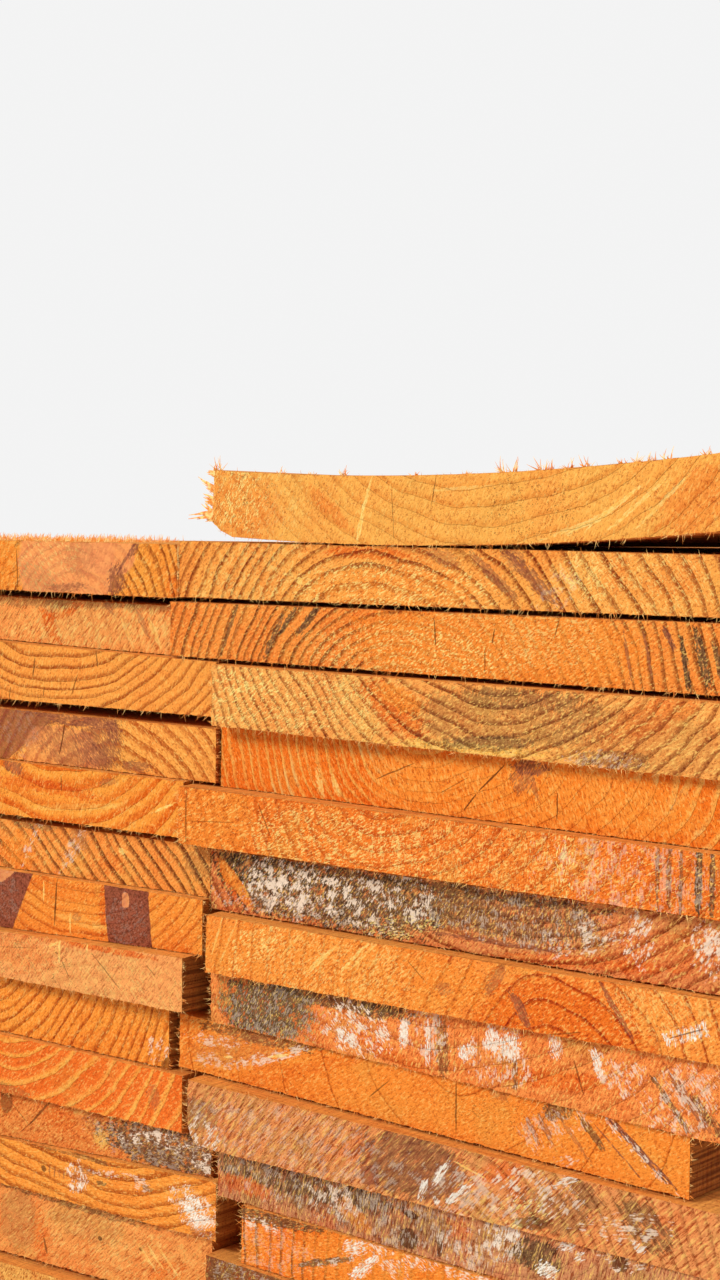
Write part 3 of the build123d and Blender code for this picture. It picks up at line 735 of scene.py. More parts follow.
        band=0.16, sparkle=0.2, scratch_turn=20,
        marks=marks(
            (PLAIN, 120, -300, 60, 14, 0, 0.8), (MOULD, 46, -292, 30, 3.0, 4, 0.9, 10),
            (BLOOM, 38, -295.5, 9, 2.4, 0, 0.9, 10), (BLOOM, 44, -304, 20, 8, 0, 0.3),
            (BLOOM, 94, -294, 6.4, 3, 26, 1.0, 20), (PAINT, 94, -294, 5, 2, 26, 0.8, 20),
            (PAINT, 99, -300, 8, 1.6, 38, 1.0, 38), (PAINT, 96, -304, 5, 1.8, 30, 0.8, 38),
            (BLOOM, 112, -295, 8, 4, -20, 0.9, -30), (BLOOM, 126, -292, 8, 3, 10, 0.9, -30),
            (BLOOM, 152, -292, 9, 2.4, 0, 0.9, 0), (HEART, 134, -294, 9, 3, 20, 0.7),
            (MOULD, 76, -304, 16, 1.4, 18, 0.9, 20), (BLOOM, 84, -302, 10, 1.2, 20, 0.7, 20),
            (HEART, 70, -296, 16, 5, 0, 0.6),
        )),
    "left_board_13": EndFinish(
        early=(250, 160, 80), late=(214, 118, 48), pith_x=-60, pith_z=-480, spacing=8, rings=0.25,
        scratch_turn=42, scratch_thin=0.16, scratches=0.5, sparkle=0.15, mottle=0.3,
        marks=marks(
            (HEART, -108, -334, 6, 14, 10, 0.6), (MOULD, -90, -314.5, 54, 2.4, 0, 0.6, 0),
            (MOULD, -124, -330, 13, 15, 0, 0.3), (MOULD, -76, -322, 24, 8, 0, 0.22, 40),
            (STRAW, -60, -332, 40, 12, 0, 0.4, 42), (HEART, -22, -333, 14, 5, 20, 0.7),
            (CHIP, -66, -327, 1.4, 1, 0, 0.8), (CHIP, -39, -326, 1.2, 1, 0, 0.8),
            (CHIP, -104, -339, 0.8, 4, 20, 0.7), (GLEAM, -36, -328, 0.7, 9, 50, 0.6, -45),
            (GLEAM, -30, -327, 0.7, 9, 50, 0.6, -45), (GLEAM, -22, -327, 0.7, 9, 50, 0.6, -45),
            (SPECKS, -60, -326, 60, 12, 0, 0.5),
        )),
    "left_board_14": EndFinish(
        early=(242, 170, 82), late=(206, 132, 56), pith_x=-100, pith_z=-300, rings=0.3, scratches=0.8,
        sparkle=0.6),
    "left_board_15": EndFinish(pith_x=-90, pith_z=-330, spacing=6.5),
    "right_board_13": EndFinish(
        early=(184, 90, 32), pith_x=110, pith_z=-250, spacing=5.5, dirt=0.5,
        marks=marks((MOULD, 30, -322, 30, 10, 0, 0.7), (BLOOM, 30, -320, 12, 4, 0, 0.3, 10))),
    "right_board_14": EndFinish(pith_x=170, pith_z=-440, spacing=6.5, early=(240, 136, 50)),
    "right_board_15": EndFinish(pith_x=90, pith_z=-320, spacing=5.8, scratches=0.5),
}


# Shader groups

class WoodGroups:
    """The shader groups that all the boards' materials share."""

    def __init__(self) -> None:
        """Build each group once."""
        self.place = self.build_place()
        self.rings = self.build_rings()
        self.hatch = self.build_hatch()
        self.patch = self.build_patch()

    def build_place(self) -> bpy.types.NodeTree:
        """Place in millimetres from the shown ends, plain and in two warped forms.

        Returns:
            The group.
        """
        outputs = vectors("Place", "Slow", "Ragged") | numbers("Blotch")
        wiring, given, out = new_group("ShaderNodeTree", "end place", numbers("Drift"), outputs)
        metres = wiring.add("ShaderNodeTexCoord").outputs["Object"]
        origin = (JOINT_X, END_Y, COLUMN_TOP_Z)
        place = wiring.vector("SUBTRACT", wiring.vector("SCALE", metres, 1 / MM), origin)
        slow_place = wiring.vector("MULTIPLY", place, (1.0, 0.1, 1.0))
        slow_noise = wiring.add("ShaderNodeTexNoise", Vector=slow_place, Scale=1 / 55, Detail=2.0).outputs[1]
        slow = wiring.vector("SCALE", wiring.vector("SUBTRACT", slow_noise, (0.5, 0.5, 0.5)), given["Drift"])
        rag_noise = wiring.add("ShaderNodeTexNoise", Vector=place, Scale=1 / 5, Detail=3.0, Roughness=0.7)
        rag = wiring.vector("SUBTRACT", rag_noise.outputs[1], (0.5, 0.5, 0.5))
        wiring.feed(out["Place"], place)
        slow = wiring.vector("ADD", slow, wiring.vector("SCALE", rag, 1.3))
        wiring.feed(out["Slow"], wiring.vector("ADD", place, slow))
        wiring.feed(out["Ragged"], rag)
        wiring.feed(out["Blotch"], rag_noise.outputs[0])
        return wiring.tree

    def build_rings(self) -> bpy.types.NodeTree:
        """Growth rings round a pith that runs along the board.

        Returns:
            The group, which gives the late wood's share and a random number for each ring.
        """
        inputs = vectors("Place") | numbers("Pith X", "Pith Z", "Left Wide", "Right Wide", "Spacing",
                                            "Uneven", "Band")
        wiring, given, out = new_group("ShaderNodeTree", "growth rings", inputs, numbers("Late", "Ring"))
        x, y, z = wiring.split(given["Place"])
        across = wiring.minus(x, given["Pith X"])
        right = wiring.over(wiring.math("MAXIMUM", across, 0.0), given["Right Wide"])
        left = wiring.over(wiring.math("MINIMUM", across, 0.0), given["Left Wide"])
        # the pith wanders a little along the board, so the long faces show long tapering figures
        wander = wiring.times(y, 0.006)
        rise = wiring.minus(wiring.minus(z, given["Pith Z"]), wander)
        radius = wiring.vector("LENGTH", wiring.join(wiring.plus(right, left), 0.0, rise))
        count = wiring.over(radius, given["Spacing"])
        sway_place = wiring.join(wiring.times(count, 0.33), given["Pith X"], given["Pith Z"])
        sway = wiring.minus(wiring.noise(sway_place, 1.0, 1.0), 0.5)
        swing = wiring.times(given["Uneven"], 3.0)
        phase = wiring.plus(count, wiring.times(sway, swing))
        part = wiring.math("FRACT", phase)
        # the late wood darkens slowly outwards and ends sharply at the next ring
        start = wiring.minus(1.0, wiring.times(given["Band"], 1.9))
        full = wiring.minus(1.0, wiring.times(given["Band"], 0.6))
        sharp = wiring.math("MAXIMUM", full, 0.96)
        late = wiring.times(wiring.step(part, start, full), wiring.step(part, 1.0, sharp))
        white = wiring.add("ShaderNodeTexWhiteNoise", {"noise_dimensions": "1D"},
                           W=wiring.math("FLOOR", phase))
        wiring.feed(out["Late"], late)
        wiring.feed(out["Ring"], white.outputs[0])
        return wiring.tree

    def build_hatch(self) -> bpy.types.NodeTree:
        """Fine torn streaks, all lying one way across the end.

        Returns:
            The group, which gives a value round 0.5.
        """
        inputs = vectors("Place") | numbers("Turn", "Width", "Thin")
        wiring, given, out = new_group("ShaderNodeTree", "torn streaks", inputs, numbers("Streak"))
        turned = wiring.add("ShaderNodeVectorRotate", {"rotation_type": "AXIS_ANGLE"},
                            Vector=given["Place"], Axis=(0.0, 1.0, 0.0), Angle=given["Turn"]).outputs[0]
        stretched = wiring.vector("MULTIPLY", turned, wiring.join(given["Thin"], 0.5, 1.0))
        thin = wiring.vector("DIVIDE", stretched, wiring.join(given["Width"], given["Width"], given["Width"]))
        wiring.feed(out["Streak"], wiring.noise(thin, 1.0, 3.0, 0.65))
        return wiring.tree

    def build_patch(self) -> bpy.types.NodeTree:
        """A patch with a soft ragged edge, from round to nearly square.

        Returns:
            The group, which gives the patch's mask.
        """
        inputs = vectors("Place", "Ragged", "Centre", "Half Size") | numbers(
            "Turn", "Rag", "Softness", "Squareness", "Texture", "Breakup", "Fill")
        wiring, given, out = new_group("ShaderNodeTree", "soft patch", inputs, numbers("Mask"))
        shifted = wiring.vector("ADD", wiring.vector("SUBTRACT", given["Place"], given["Centre"]),
                                wiring.vector("SCALE", given["Ragged"], given["Rag"]))
        turned = wiring.add("ShaderNodeVectorRotate", {"rotation_type": "AXIS_ANGLE"}, Vector=shifted,
                            Axis=(0.0, 1.0, 0.0), Angle=given["Turn"]).outputs[0]
        sized = wiring.vector("ABSOLUTE", wiring.vector("DIVIDE", turned, given["Half Size"]))
        x, _, z = wiring.split(sized)
        power = given["Squareness"]
        total = wiring.plus(wiring.math("POWER", x, power), wiring.math("POWER", z, power))
        reach = wiring.math("POWER", total, wiring.over(1.0, power))
        # the patch fades towards its edge, and where it is thin the texture eats it away
        depth = wiring.over(wiring.minus(1.0, reach), given["Softness"])
        depth = wiring.math("MINIMUM", wiring.plus(depth, 0.5), given["Fill"])
        eaten = wiring.times(wiring.minus(given["Texture"], 0.5), given["Breakup"])
        wiring.feed(out["Mask"], wiring.step(wiring.plus(depth, eaten), 0.38, 0.68))
        return wiring.tree


@dataclass
class EndNodes:
    """The shared nodes that the marks on one material read."""

    wiring: Wiring
    place: bpy.types.Node
    hatch: Socket
    grit: Socket
    near: Socket


@dataclass
class BoardMaterial:
    """The material of one board: end grain with its marks, and long grain on the faces along it."""

    name: str
    finish: EndFinish
    groups: WoodGroups
    # how much painted shade darkens the sides
    side_shade_amount: float
    drift: float = 14.0
    streak_width: float = 0.8
    grit_size: float = 1.2
    roughness: float = 0.85
    gloss: float = 0.1
    bump_strength: float = 0.9
    bump_depth: float = 0.0014
    red_wood: Tone = (228, 90, 8)
    pale_wood: Tone = (255, 180, 72)
    grime: Tone = (104, 72, 44)
    # painted shade in the pits and torn streaks, and painted highlights on the torn fibres
    pit_shade: Tone = (176, 104, 48)
    torn_shade: Tone = (176, 104, 50)
    torn_highlight: Tone = (255, 204, 108)
    long_light: Tone = (244, 158, 68)
    long_dark: Tone = (186, 100, 36)
    long_late: Tone = (184, 90, 30)
    long_warm: Tone = (224, 118, 44)
    # painted light: the tone that the tops of the long faces are lightened towards
    top_light_tone: Tone = (255, 184, 92)
    # painted shade: the tones that the sides of the long faces are darkened towards
    side_shade_dark: Tone = (84, 42, 14)
    side_shade_pale: Tone = (164, 92, 38)
    saw_shade: Tone = (190, 122, 62)
    speck_shade: Tone = (186, 112, 54)

    def build(self) -> bpy.types.Material:
        """Make the material.

        Returns:
            The finished material.
        """
        material = bpy.data.materials.new(self.name)
        material.use_nodes = True
        wiring = Wiring(material.node_tree)
        finish = self.finish
        place = wiring.group(self.groups.place, Drift=self.drift)
        rings = wiring.group(self.groups.rings, Place=place.outputs["Slow"], Pith_X=finish.pith_x,
                             Pith_Z=finish.pith_z, Left_Wide=finish.left_wide, Right_Wide=finish.right_wide,
                             Spacing=finish.spacing, Uneven=finish.uneven, Band=finish.band)
        flat = place.outputs["Place"]
        hatch = self.streaks(wiring, flat, finish.scratch_turn, self.streak_width)
        grit = wiring.noise(flat, self.grit_size, 3.0, 0.8)
        near = wiring.step(wiring.split(flat)[1], 45.0, 12.0)
        nodes = EndNodes(wiring, place, hatch, grit, near)
        end_colour = self.end_colour(nodes, rings)
        long_colour, long_height = self.long_colour(nodes, rings)

        normal = wiring.split(wiring.add("ShaderNodeNewGeometry").outputs["Normal"])
        end_share = wiring.step(wiring.math("ABSOLUTE", normal[1]), 0.35, 0.7)
        colour = wiring.mix(end_share, long_colour, end_colour)

        end_height = wiring.plus(wiring.times(hatch, 0.35 + finish.scratches * 0.6),
                                 wiring.times(grit, 0.7))
        end_height = wiring.plus(end_height, wiring.times(rings.outputs["Late"], 0.3))
        height = wiring.add("ShaderNodeMix", {"data_type": "FLOAT"}, Factor=end_share, A=long_height,
                            B=end_height)
        bump = wiring.add("ShaderNodeBump", Strength=self.bump_strength, Distance=self.bump_depth,
                          Height=height.outputs[0])
        shader = wiring.add("ShaderNodeBsdfPrincipled", Base_Color=colour, Roughness=self.roughness,
                            Specular_IOR_Level=self.gloss, Normal=bump.outputs[0])
        wiring.add("ShaderNodeOutputMaterial", Surface=shader.outputs[0])
        return material

    def streaks(self, wiring: Wiring, place: Socket, turn: float, width: float) -> Socket:
        """Give torn streaks at an angle, in degrees from level, of a width in millimetres."""
        return wiring.group(self.groups.hatch, Place=place, Turn=math.radians(turn), Width=width,
                            Thin=self.finish.scratch_thin).outputs[0]

    def end_colour(self, nodes: EndNodes, rings: bpy.types.Node) -> Socket:
        """Colour of the sawn ends.

        Args:
            nodes: The shared nodes.
            rings: The growth rings.

        Returns:
            The colour.
        """
        finish, wiring = self.finish, nodes.wiring
        cloud = wiring.noise(nodes.place.outputs["Place"], 22.0, 3.0, 0.55)
        colour = linear(finish.early)
        # slow change between redder and paler wood
        warm = wiring.times(wiring.step(cloud, 0.42, 0.7), finish.mottle)
        colour = wiring.mix(warm, colour, linear(self.red_wood))
        pale = wiring.times(wiring.step(cloud, 0.48, 0.3), finish.mottle * 0.7)
        colour = wiring.mix(pale, colour, linear(self.pale_wood))
        dirt = wiring.times(wiring.step(cloud, 0.5, 0.3), finish.dirt)
        colour = wiring.mix(dirt, colour, linear(self.grime))
        colour = self.add_layer(nodes, Layer.UNDER, colour)

        # rings run through stains and mould, and torn fibres break their lines up
        whole = wiring.minus(1.0, wiring.times(wiring.step(nodes.grit, 0.52, 0.64), 0.6))
        uneven = wiring.plus(wiring.times(rings.outputs["Ring"], 0.4), 0.6)
        ring_share = wiring.times(wiring.times(rings.outputs["Late"], uneven), whole)
        ring_share = wiring.times(ring_share, finish.rings)
        ratio = [late / early for late, early in zip(linear(finish.late), linear(finish.early))]
        colour = wiring.mix(ring_share, colour, (ratio[0], ratio[1], ratio[2], 1.0), "MULTIPLY")
        colour = self.add_layer(nodes, Layer.OVER, colour)

        # painted shade in the pits and along the torn streaks, and painted highlights on the torn fibres,
        # stand in for the light and shade of the torn surface
        dark = wiring.times(wiring.step(nodes.grit, 0.45, 0.36), 0.5 + finish.sparkle * 0.5)
        colour = wiring.mix(dark, colour, linear(self.pit_shade), "MULTIPLY")
        torn = wiring.times(wiring.step(nodes.hatch, 0.45, 0.37), 0.25 + finish.scratches * 0.7)
        colour = wiring.mix(torn, colour, linear(self.torn_shade), "MULTIPLY")
        light = wiring.times(wiring.step(nodes.hatch, 0.54, 0.64), 0.4 + finish.sparkle * 0.6)
        colour = wiring.mix(light, colour, linear(self.torn_highlight))
        return self.add_layer(nodes, Layer.TOP, colour)

    def add_layer(self, nodes: EndNodes, layer: Layer, colour: Socket) -> Socket:
        """Lay all the marks of one layer over a colour, in their order.

        Args:
            nodes: The shared nodes.
            layer: The layer.
            colour: The colour below it.

        Returns:
            The colour with the marks.
        """
        for mark in self.finish.marks:
            if MARK_LOOKS[mark.kind].layer is layer:
                colour = self.add_mark(nodes, mark, colour)
        return colour

    def add_mark(self, nodes: EndNodes, mark: Mark, colour: Socket) -> Socket:
        """Lay one mark over a colour.

        Args:
            nodes: The shared nodes.
            mark: The mark.
            colour: The colour below it.

        Returns:
            The colour with the mark.
        """
        look, wiring, place = MARK_LOOKS[mark.kind], nodes.wiring, nodes.place
        blotch = place.outputs["Blotch"]
        texture = blotch
        if look.cover is not Cover.EVEN:
            turn = self.finish.scratch_turn if mark.grain is None else mark.grain
            fine = nodes.grit if look.cover is Cover.SPECKLED else self.streaks(
                wiring, place.outputs["Place"], turn, look.grain)
            texture = wiring.plus(wiring.times(fine, 1 - look.clumps), wiring.times(blotch, look.clumps))
        ragged = min(look.ragged, 1.2 * min(mark.half_x, mark.half_z) + 0.3)
        patch = wiring.group(self.groups.patch, Place=place.outputs["Place"], Ragged=place.outputs["Ragged"],
                             Centre=(mark.x, 0.0, mark.z), Half_Size=(mark.half_x, 1.0, mark.half_z),
                             Turn=math.radians(mark.turn), Rag=ragged, Softness=look.softness,
                             Squareness=look.squareness, Texture=texture, Breakup=look.breakup,
                             Fill=look.fill).outputs[0]
        strength = wiring.times(nodes.near, mark.strength * look.strength)
        share = wiring.times(patch, strength)
        tone = wiring.mix(wiring.step(texture, 0.42, 0.6), linear(look.second), linear(look.tone))
        return wiring.mix(share, colour, tone)

    def long_colour(self, nodes: EndNodes, rings: bpy.types.Node) -> tuple[Socket, Socket]:
        """Colour of the faces along the board.

        Args:
            nodes: The shared nodes.
            rings: The growth rings.

        Returns:
            The colour and the height of the streaks and saw marks.
        """
        wiring, place = nodes.wiring, nodes.place.outputs["Place"]
        streak = wiring.noise(wiring.vector("MULTIPLY", place, (1.0, 0.02, 1.0)), 1.6, 4.0, 0.65)
        saw = wiring.noise(wiring.vector("MULTIPLY", place, (0.05, 1.0, 0.05)), 2.2, 2.0, 0.6)
        cloud = wiring.noise(wiring.vector("MULTIPLY", place, (1.0, 0.12, 1.0)), 60.0, 2.0)
        colour = wiring.mix(wiring.step(streak, 0.35, 0.65), linear(self.long_dark), linear(self.long_light))
        late = wiring.times(rings.outputs["Late"], 0.5)
        colour = wiring.mix(late, colour, linear(self.long_late))
        warm = wiring.times(wiring.step(cloud, 0.4, 0.7), 0.5)
        colour = wiring.mix(warm, colour, linear(self.long_warm))
        # painted light and shade: the tops are lightened as if lit from above, and the sides are darkened as
        # if they lay in shade between the boards
        x, _, z = wiring.split(wiring.add("ShaderNodeNewGeometry").outputs["Normal"])
        side = wiring.step(wiring.math("ABSOLUTE", x), 0.5, 0.9)
        top_light_share = wiring.times(wiring.step(z, 0.5, 0.9), 0.4)
        colour = wiring.mix(top_light_share, colour, linear(self.top_light_tone))
        # painted shade on the sides, following the streaks
        side_shade_tone = wiring.mix(wiring.step(streak, 0.4, 0.62), linear(self.side_shade_dark), linear(self.side_shade_pale))
        colour = wiring.mix(wiring.times(side, self.side_shade_amount), colour, side_shade_tone)
        marks = wiring.times(wiring.step(saw, 0.46, 0.36), 0.35)
        colour = wiring.mix(marks, colour, linear(self.saw_shade), "MULTIPLY")
        specks = wiring.times(wiring.step(nodes.grit, 0.46, 0.36), 0.7)
        colour = wiring.mix(specks, colour, linear(self.speck_shade), "MULTIPLY")
        height = wiring.plus(wiring.times(streak, 0.6), wiring.times(saw, 0.5))
        return colour, height


@dataclass(frozen=True)
class FibreFinish:
    """The finish of the torn fibres, paler than the wood that they come from."""

    pale: Tone = (255, 208, 128)
    deep: Tone = (236, 140, 58)
    roughness: float = 0.8
    gloss: float = 0.1

    def build(self) -> bpy.types.Material:
        """Make the material.

        Returns:
            The finished material.
        """
        material = bpy.data.materials.new("torn_fibres")
        material.use_nodes = True
        wiring = Wiring(material.node_tree)
        millimetres = wiring.vector("SCALE", wiring.add("ShaderNodeTexCoord").outputs["Object"], 1 / MM)
        tone = wiring.mix(wiring.step(wiring.noise(millimetres, 3.0), 0.4, 0.6), linear(self.deep),
                          linear(self.pale))
        shader = wiring.add("ShaderNodeBsdfPrincipled", Base_Color=tone, Roughness=self.roughness,
                            Specular_IOR_Level=self.gloss)
        wiring.add("ShaderNodeOutputMaterial", Surface=shader.outputs[0])
        return material


# Boards

@dataclass
class FlatSection:
    """A board's section and ends before it is bowed or cupped, in metres."""

    left: float
    right: float
    low_left: float
    low_right: float
    top_left: float
    top_right: float
    near_left: float
    near_right: float
    far: float
    lift: float = 0.0

    def under(self, x: float) -> float:
        """Height of the underside at x."""
        share = (x - self.left) / (self.right - self.left)
        return self.low_left + (self.low_right - self.low_left) * share

    def over(self, x: float) -> float:
        """Height of the top at x."""
        share = (x - self.left) / (self.right - self.left)
        return self.top_left + (self.top_right - self.top_left) * share

    def near(self, x: float) -> float:
        """Place of the shown end at x."""
        share = (x - self.left) / (self.right - self.left)
        return self.near_left + (self.near_right - self.near_left) * share


HALF_LENGTH = 1.22      # half of a board's length
SAME_PLACE = 0.0003     # points closer than this count as being in one place


def solid_points(node: str) -> list[Vector]:
    """Give the places of all the vertices of a solid."""
    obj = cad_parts[node]
    return [obj.matrix_world @ vertex.co for vertex in obj.data.vertices]


def measure_flat(node: str) -> FlatSection:
    """Read a flat or bowed board's corners from its solid.

    Args:
        node: The board's name.

    Returns:
        Its section and ends, with the bow taken off.
    """
    points = solid_points(node)
    left = min(point.x for point in points)
    right = max(point.x for point in points)
    left_side = [point for point in points if point.x < left + SAME_PLACE]
    right_side = [point for point in points if point.x > right - SAME_PLACE]
    near_left = min(point.y for point in left_side)
    near_right = min(point.y for point in right_side)
    far = max(point.y for point in points)

    def end_heights(side: list[Vector], near: float) -> tuple[float, float]:
        """Give the lowest and highest point of one side at the shown end."""
        heights = [point.z for point in side if point.y < near + SAME_PLACE]
        return min(heights), max(heights)

    low_left, top_left = end_heights(left_side, near_left)
    low_right, top_right = end_heights(right_side, near_right)
    middle = [point for point in left_side if abs(point.y) < HALF_LENGTH / 2]
    lift = 0.0
    if middle:
        deepest = min(middle, key=lambda point: (round(abs(point.y), 4), point.z))
        end_bow = (near_left / HALF_LENGTH) ** 2 - (deepest.y / HALF_LENGTH) ** 2
        lift = (low_left - deepest.z) / end_bow
    bow_left = lift * (near_left / HALF_LENGTH) ** 2
    bow_right = lift * (near_right / HALF_LENGTH) ** 2
    return FlatSection(left, right, low_left - bow_left, low_right - bow_right, top_left - bow_left,
                       top_right - bow_right, near_left, near_right, far, lift)


def shape_group(name: str, inputs: dict[str, Ports]) -> tuple[Wiring, Sockets, Sockets]:
    """Make an empty Geometry Nodes group that takes a mesh and other inputs, and gives a mesh."""
    geometry = {"Geometry": Ports.GEOMETRY}
    return new_group("GeometryNodeTree", name, geometry | inputs, geometry)


def move_points(wiring: Wiring, given: Sockets, out: Sockets, **target: Socket) -> bpy.types.NodeTree:
    """Move the points of a group's mesh and give the mesh out.

    Args:
        wiring: The group's wiring.
        given: Where its inputs come in.
        out: Where its outputs go out.
        **target: Either Offset or Position.

    Returns:
        The group.
    """
    moved = wiring.add("GeometryNodeSetPosition", Geometry=given["Geometry"], **target)
    wiring.feed(out["Geometry"], moved.outputs[0])
    return wiring.tree


class ShapeGroups:
    """The Geometry Nodes groups that bow, wear and fray the boards."""

    def __init__(self) -> None:
        """Build each group once."""
        self.bow = self.build_bow()
        self.wear = self.build_wear()
        self.fray = self.build_fray()
        self.hold = self.build_hold()
        self.corner = self.build_corner()
        self.cup = self.build_cup()

    def build_hold(self) -> bpy.types.NodeTree:
        """Keep every point inside a box.

        Returns:
            The group.
        """
        wiring, given, out = shape_group("inside the box", vectors("Box Low", "Box High"))
        position = wiring.add("GeometryNodeInputPosition").outputs[0]
        raised = wiring.vector("MAXIMUM", position, given["Box Low"])
        held = wiring.vector("MINIMUM", raised, given["Box High"])
        return move_points(wiring, given, out, Position=held)

    def build_corner(self) -> bpy.types.NodeTree:
        """Round off the lower left corner of a board along its length.

        Returns:
            The group.
        """
        inputs = numbers("Left", "Low", "Top", "Run", "Rise", "Curve")
        wiring, given, out = shape_group("worn corner", inputs)
        x, _, z = wiring.split(wiring.add("GeometryNodeInputPosition").outputs[0])
        inside = wiring.minus(wiring.plus(given["Left"], given["Run"]), x)
        share = wiring.over(inside, given["Run"])
        share = wiring.math("MINIMUM", wiring.math("MAXIMUM", share, 0.0), 1.0)
        rise = wiring.times(wiring.math("POWER", share, given["Curve"]), given["Rise"])
        height = wiring.minus(given["Top"], given["Low"])
        from_top = wiring.over(wiring.minus(given["Top"], z), height)
        lift = wiring.times(rise, from_top)
        return move_points(wiring, given, out, Offset=wiring.join(0.0, 0.0, lift))

    def build_cup(self) -> bpy.types.NodeTree:
        """Bend a flat board into a trough: its underside takes the given radius.

        Returns:
            The group.
        """
        wiring, given, out = shape_group("cupped board", numbers("Centre X", "Centre Z", "Radius"))
        x, y, z = wiring.split(wiring.add("GeometryNodeInputPosition").outputs[0])
        angle = wiring.over(wiring.minus(x, given["Centre X"]), given["Radius"])
        reach = wiring.minus(given["Centre Z"], z)
        out_x = wiring.times(reach, wiring.math("SINE", angle))
        new_x = wiring.plus(given["Centre X"], out_x)
        down_z = wiring.times(reach, wiring.math("COSINE", angle))
        new_z = wiring.minus(given["Centre Z"], down_z)
        return move_points(wiring, given, out, Position=wiring.join(new_x, y, new_z))

    def build_bow(self) -> bpy.types.NodeTree:
        """Lift the ends of a board along a parabola.

        Returns:
            The group.
        """
        wiring, given, out = shape_group("bowed board", numbers("Lift"))
        y = wiring.split(wiring.add("GeometryNodeInputPosition").outputs[0])[1]
        share = wiring.over(y, HALF_LENGTH)
        rise = wiring.times(wiring.times(share, share), given["Lift"])
        return move_points(wiring, given, out, Offset=wiring.join(0.0, 0.0, rise))

    def build_wear(self) -> bpy.types.NodeTree:
        """Wear the sharp arrises near both ends unevenly, and roughen the sawn ends.

        Returns:
            The group.
        """
        wiring, given, out = shape_group("worn arrises", numbers("Wear", "Relief", "Near Y", "Far Y"))
        sharp = wiring.math("GREATER_THAN", wiring.add("GeometryNodeInputMeshEdgeAngle").outputs[0], 1.0)
        arrises = wiring.add("GeometryNodeSeparateGeometry", {"domain": "EDGE"}, Geometry=given["Geometry"],
                             Selection=sharp)
        distance = wiring.add("GeometryNodeProximity", {"target_element": "EDGES"},
                              Geometry=arrises.outputs[0])
        from_arris = distance.outputs["Distance"]
        position = wiring.add("GeometryNodeInputPosition").outputs[0]
        y = wiring.split(position)[1]
        from_end = wiring.math("MINIMUM", wiring.minus(y, given["Near Y"]), wiring.minus(given["Far Y"], y))
        at_end = wiring.step(from_end, 0.009, 0.001)
        mm_place = wiring.vector("SCALE", position, 1 / MM)
        coarse = wiring.step(wiring.noise(mm_place, 7.0, 2.0), 0.35, 0.8)
        fine = wiring.step(wiring.noise(mm_place, 1.7, 2.0, 0.7), 0.3, 0.75)
        worn = wiring.times(wiring.plus(wiring.times(coarse, 0.55), wiring.times(fine, 0.45)),
                            given["Wear"])
        worn = wiring.times(worn, wiring.step(from_arris, 0.0032, 0.0))
        rough = wiring.times(given["Relief"], wiring.step(from_end, 0.002, 0.0))
        relief = wiring.times(fine, rough)
        amount = wiring.times(wiring.plus(worn, relief), at_end)
        normal = wiring.add("GeometryNodeInputNormal").outputs[0]
        inward = wiring.vector("SCALE", normal, wiring.times(amount, -1.0))
        return move_points(wiring, given, out, Offset=inward)

    def build_fray(self) -> bpy.types.NodeTree:
        """Stand torn fibres along one arris, each a copy of one modelled fibre.

        Returns:
            The group.
        """
        places = vectors("Start", "End", "Turn Low", "Turn High", "Size Low", "Size High")
        inputs = {"Fibre": Ports.OBJECT, "Count": Ports.COUNT, "Seed": Ports.COUNT} | places
        wiring, given, out = shape_group("torn fibres", inputs)

        def random(kind: str, low: object, high: object, salt: int) -> Socket:
            """Draw a random value for each fibre.

            Args:
                kind: FLOAT or FLOAT_VECTOR.
                low: The least value.
                high: The greatest.
                salt: Sets this draw apart from the others.

            Returns:
                The value.
            """
            node = wiring.add("FunctionNodeRandomValue", {"data_type": kind})
            slots = [socket for socket in node.inputs if socket.enabled]
            wiring.feed(slots[0], low)
            wiring.feed(slots[1], high)
            wiring.feed(node.inputs["Seed"], wiring.plus(given["Seed"], float(salt)))
            return next(socket for socket in node.outputs if socket.enabled)

        share = random("FLOAT", 0.0, 1.0, 1)
        span = wiring.vector("SUBTRACT", given["End"], given["Start"])
        place = wiring.vector("ADD", given["Start"], wiring.vector("SCALE", span, share))
        points = wiring.add("GeometryNodePoints", Count=given["Count"], Position=place)
        fibre = wiring.add("GeometryNodeObjectInfo", {"transform_space": "ORIGINAL"}, Object=given["Fibre"])
        length_share = random("FLOAT", 0.0, 1.0, 2)
        # most fibres are short and a few are long
        skewed = wiring.math("POWER", length_share, 2.6)
        size = wiring.vector("ADD", given["Size Low"], wiring.vector(
            "SCALE", wiring.vector("SUBTRACT", given["Size High"], given["Size Low"]), skewed))
        turn = random("FLOAT_VECTOR", given["Turn Low"], given["Turn High"], 3)
        copies = wiring.add("GeometryNodeInstanceOnPoints", Points=points.outputs[0],
                            Instance=fibre.outputs["Geometry"], Rotation=turn, Scale=size)
        real = wiring.add("GeometryNodeRealizeInstances", Geometry=copies.outputs[0])
        both = wiring.add("GeometryNodeJoinGeometry")
        wiring.feed(both.inputs[0], real.outputs[0])
        wiring.tree.links.new(given["Geometry"], both.inputs[0])
        wiring.feed(out["Geometry"], both.outputs[0])
        return wiring.tree


def deselect_all() -> None:
    """Leave nothing selected, in object mode."""
    if bpy.context.object and bpy.context.object.mode != "OBJECT":
        bpy.ops.object.mode_set(mode="OBJECT")
    bpy.ops.object.select_all(action="DESELECT")


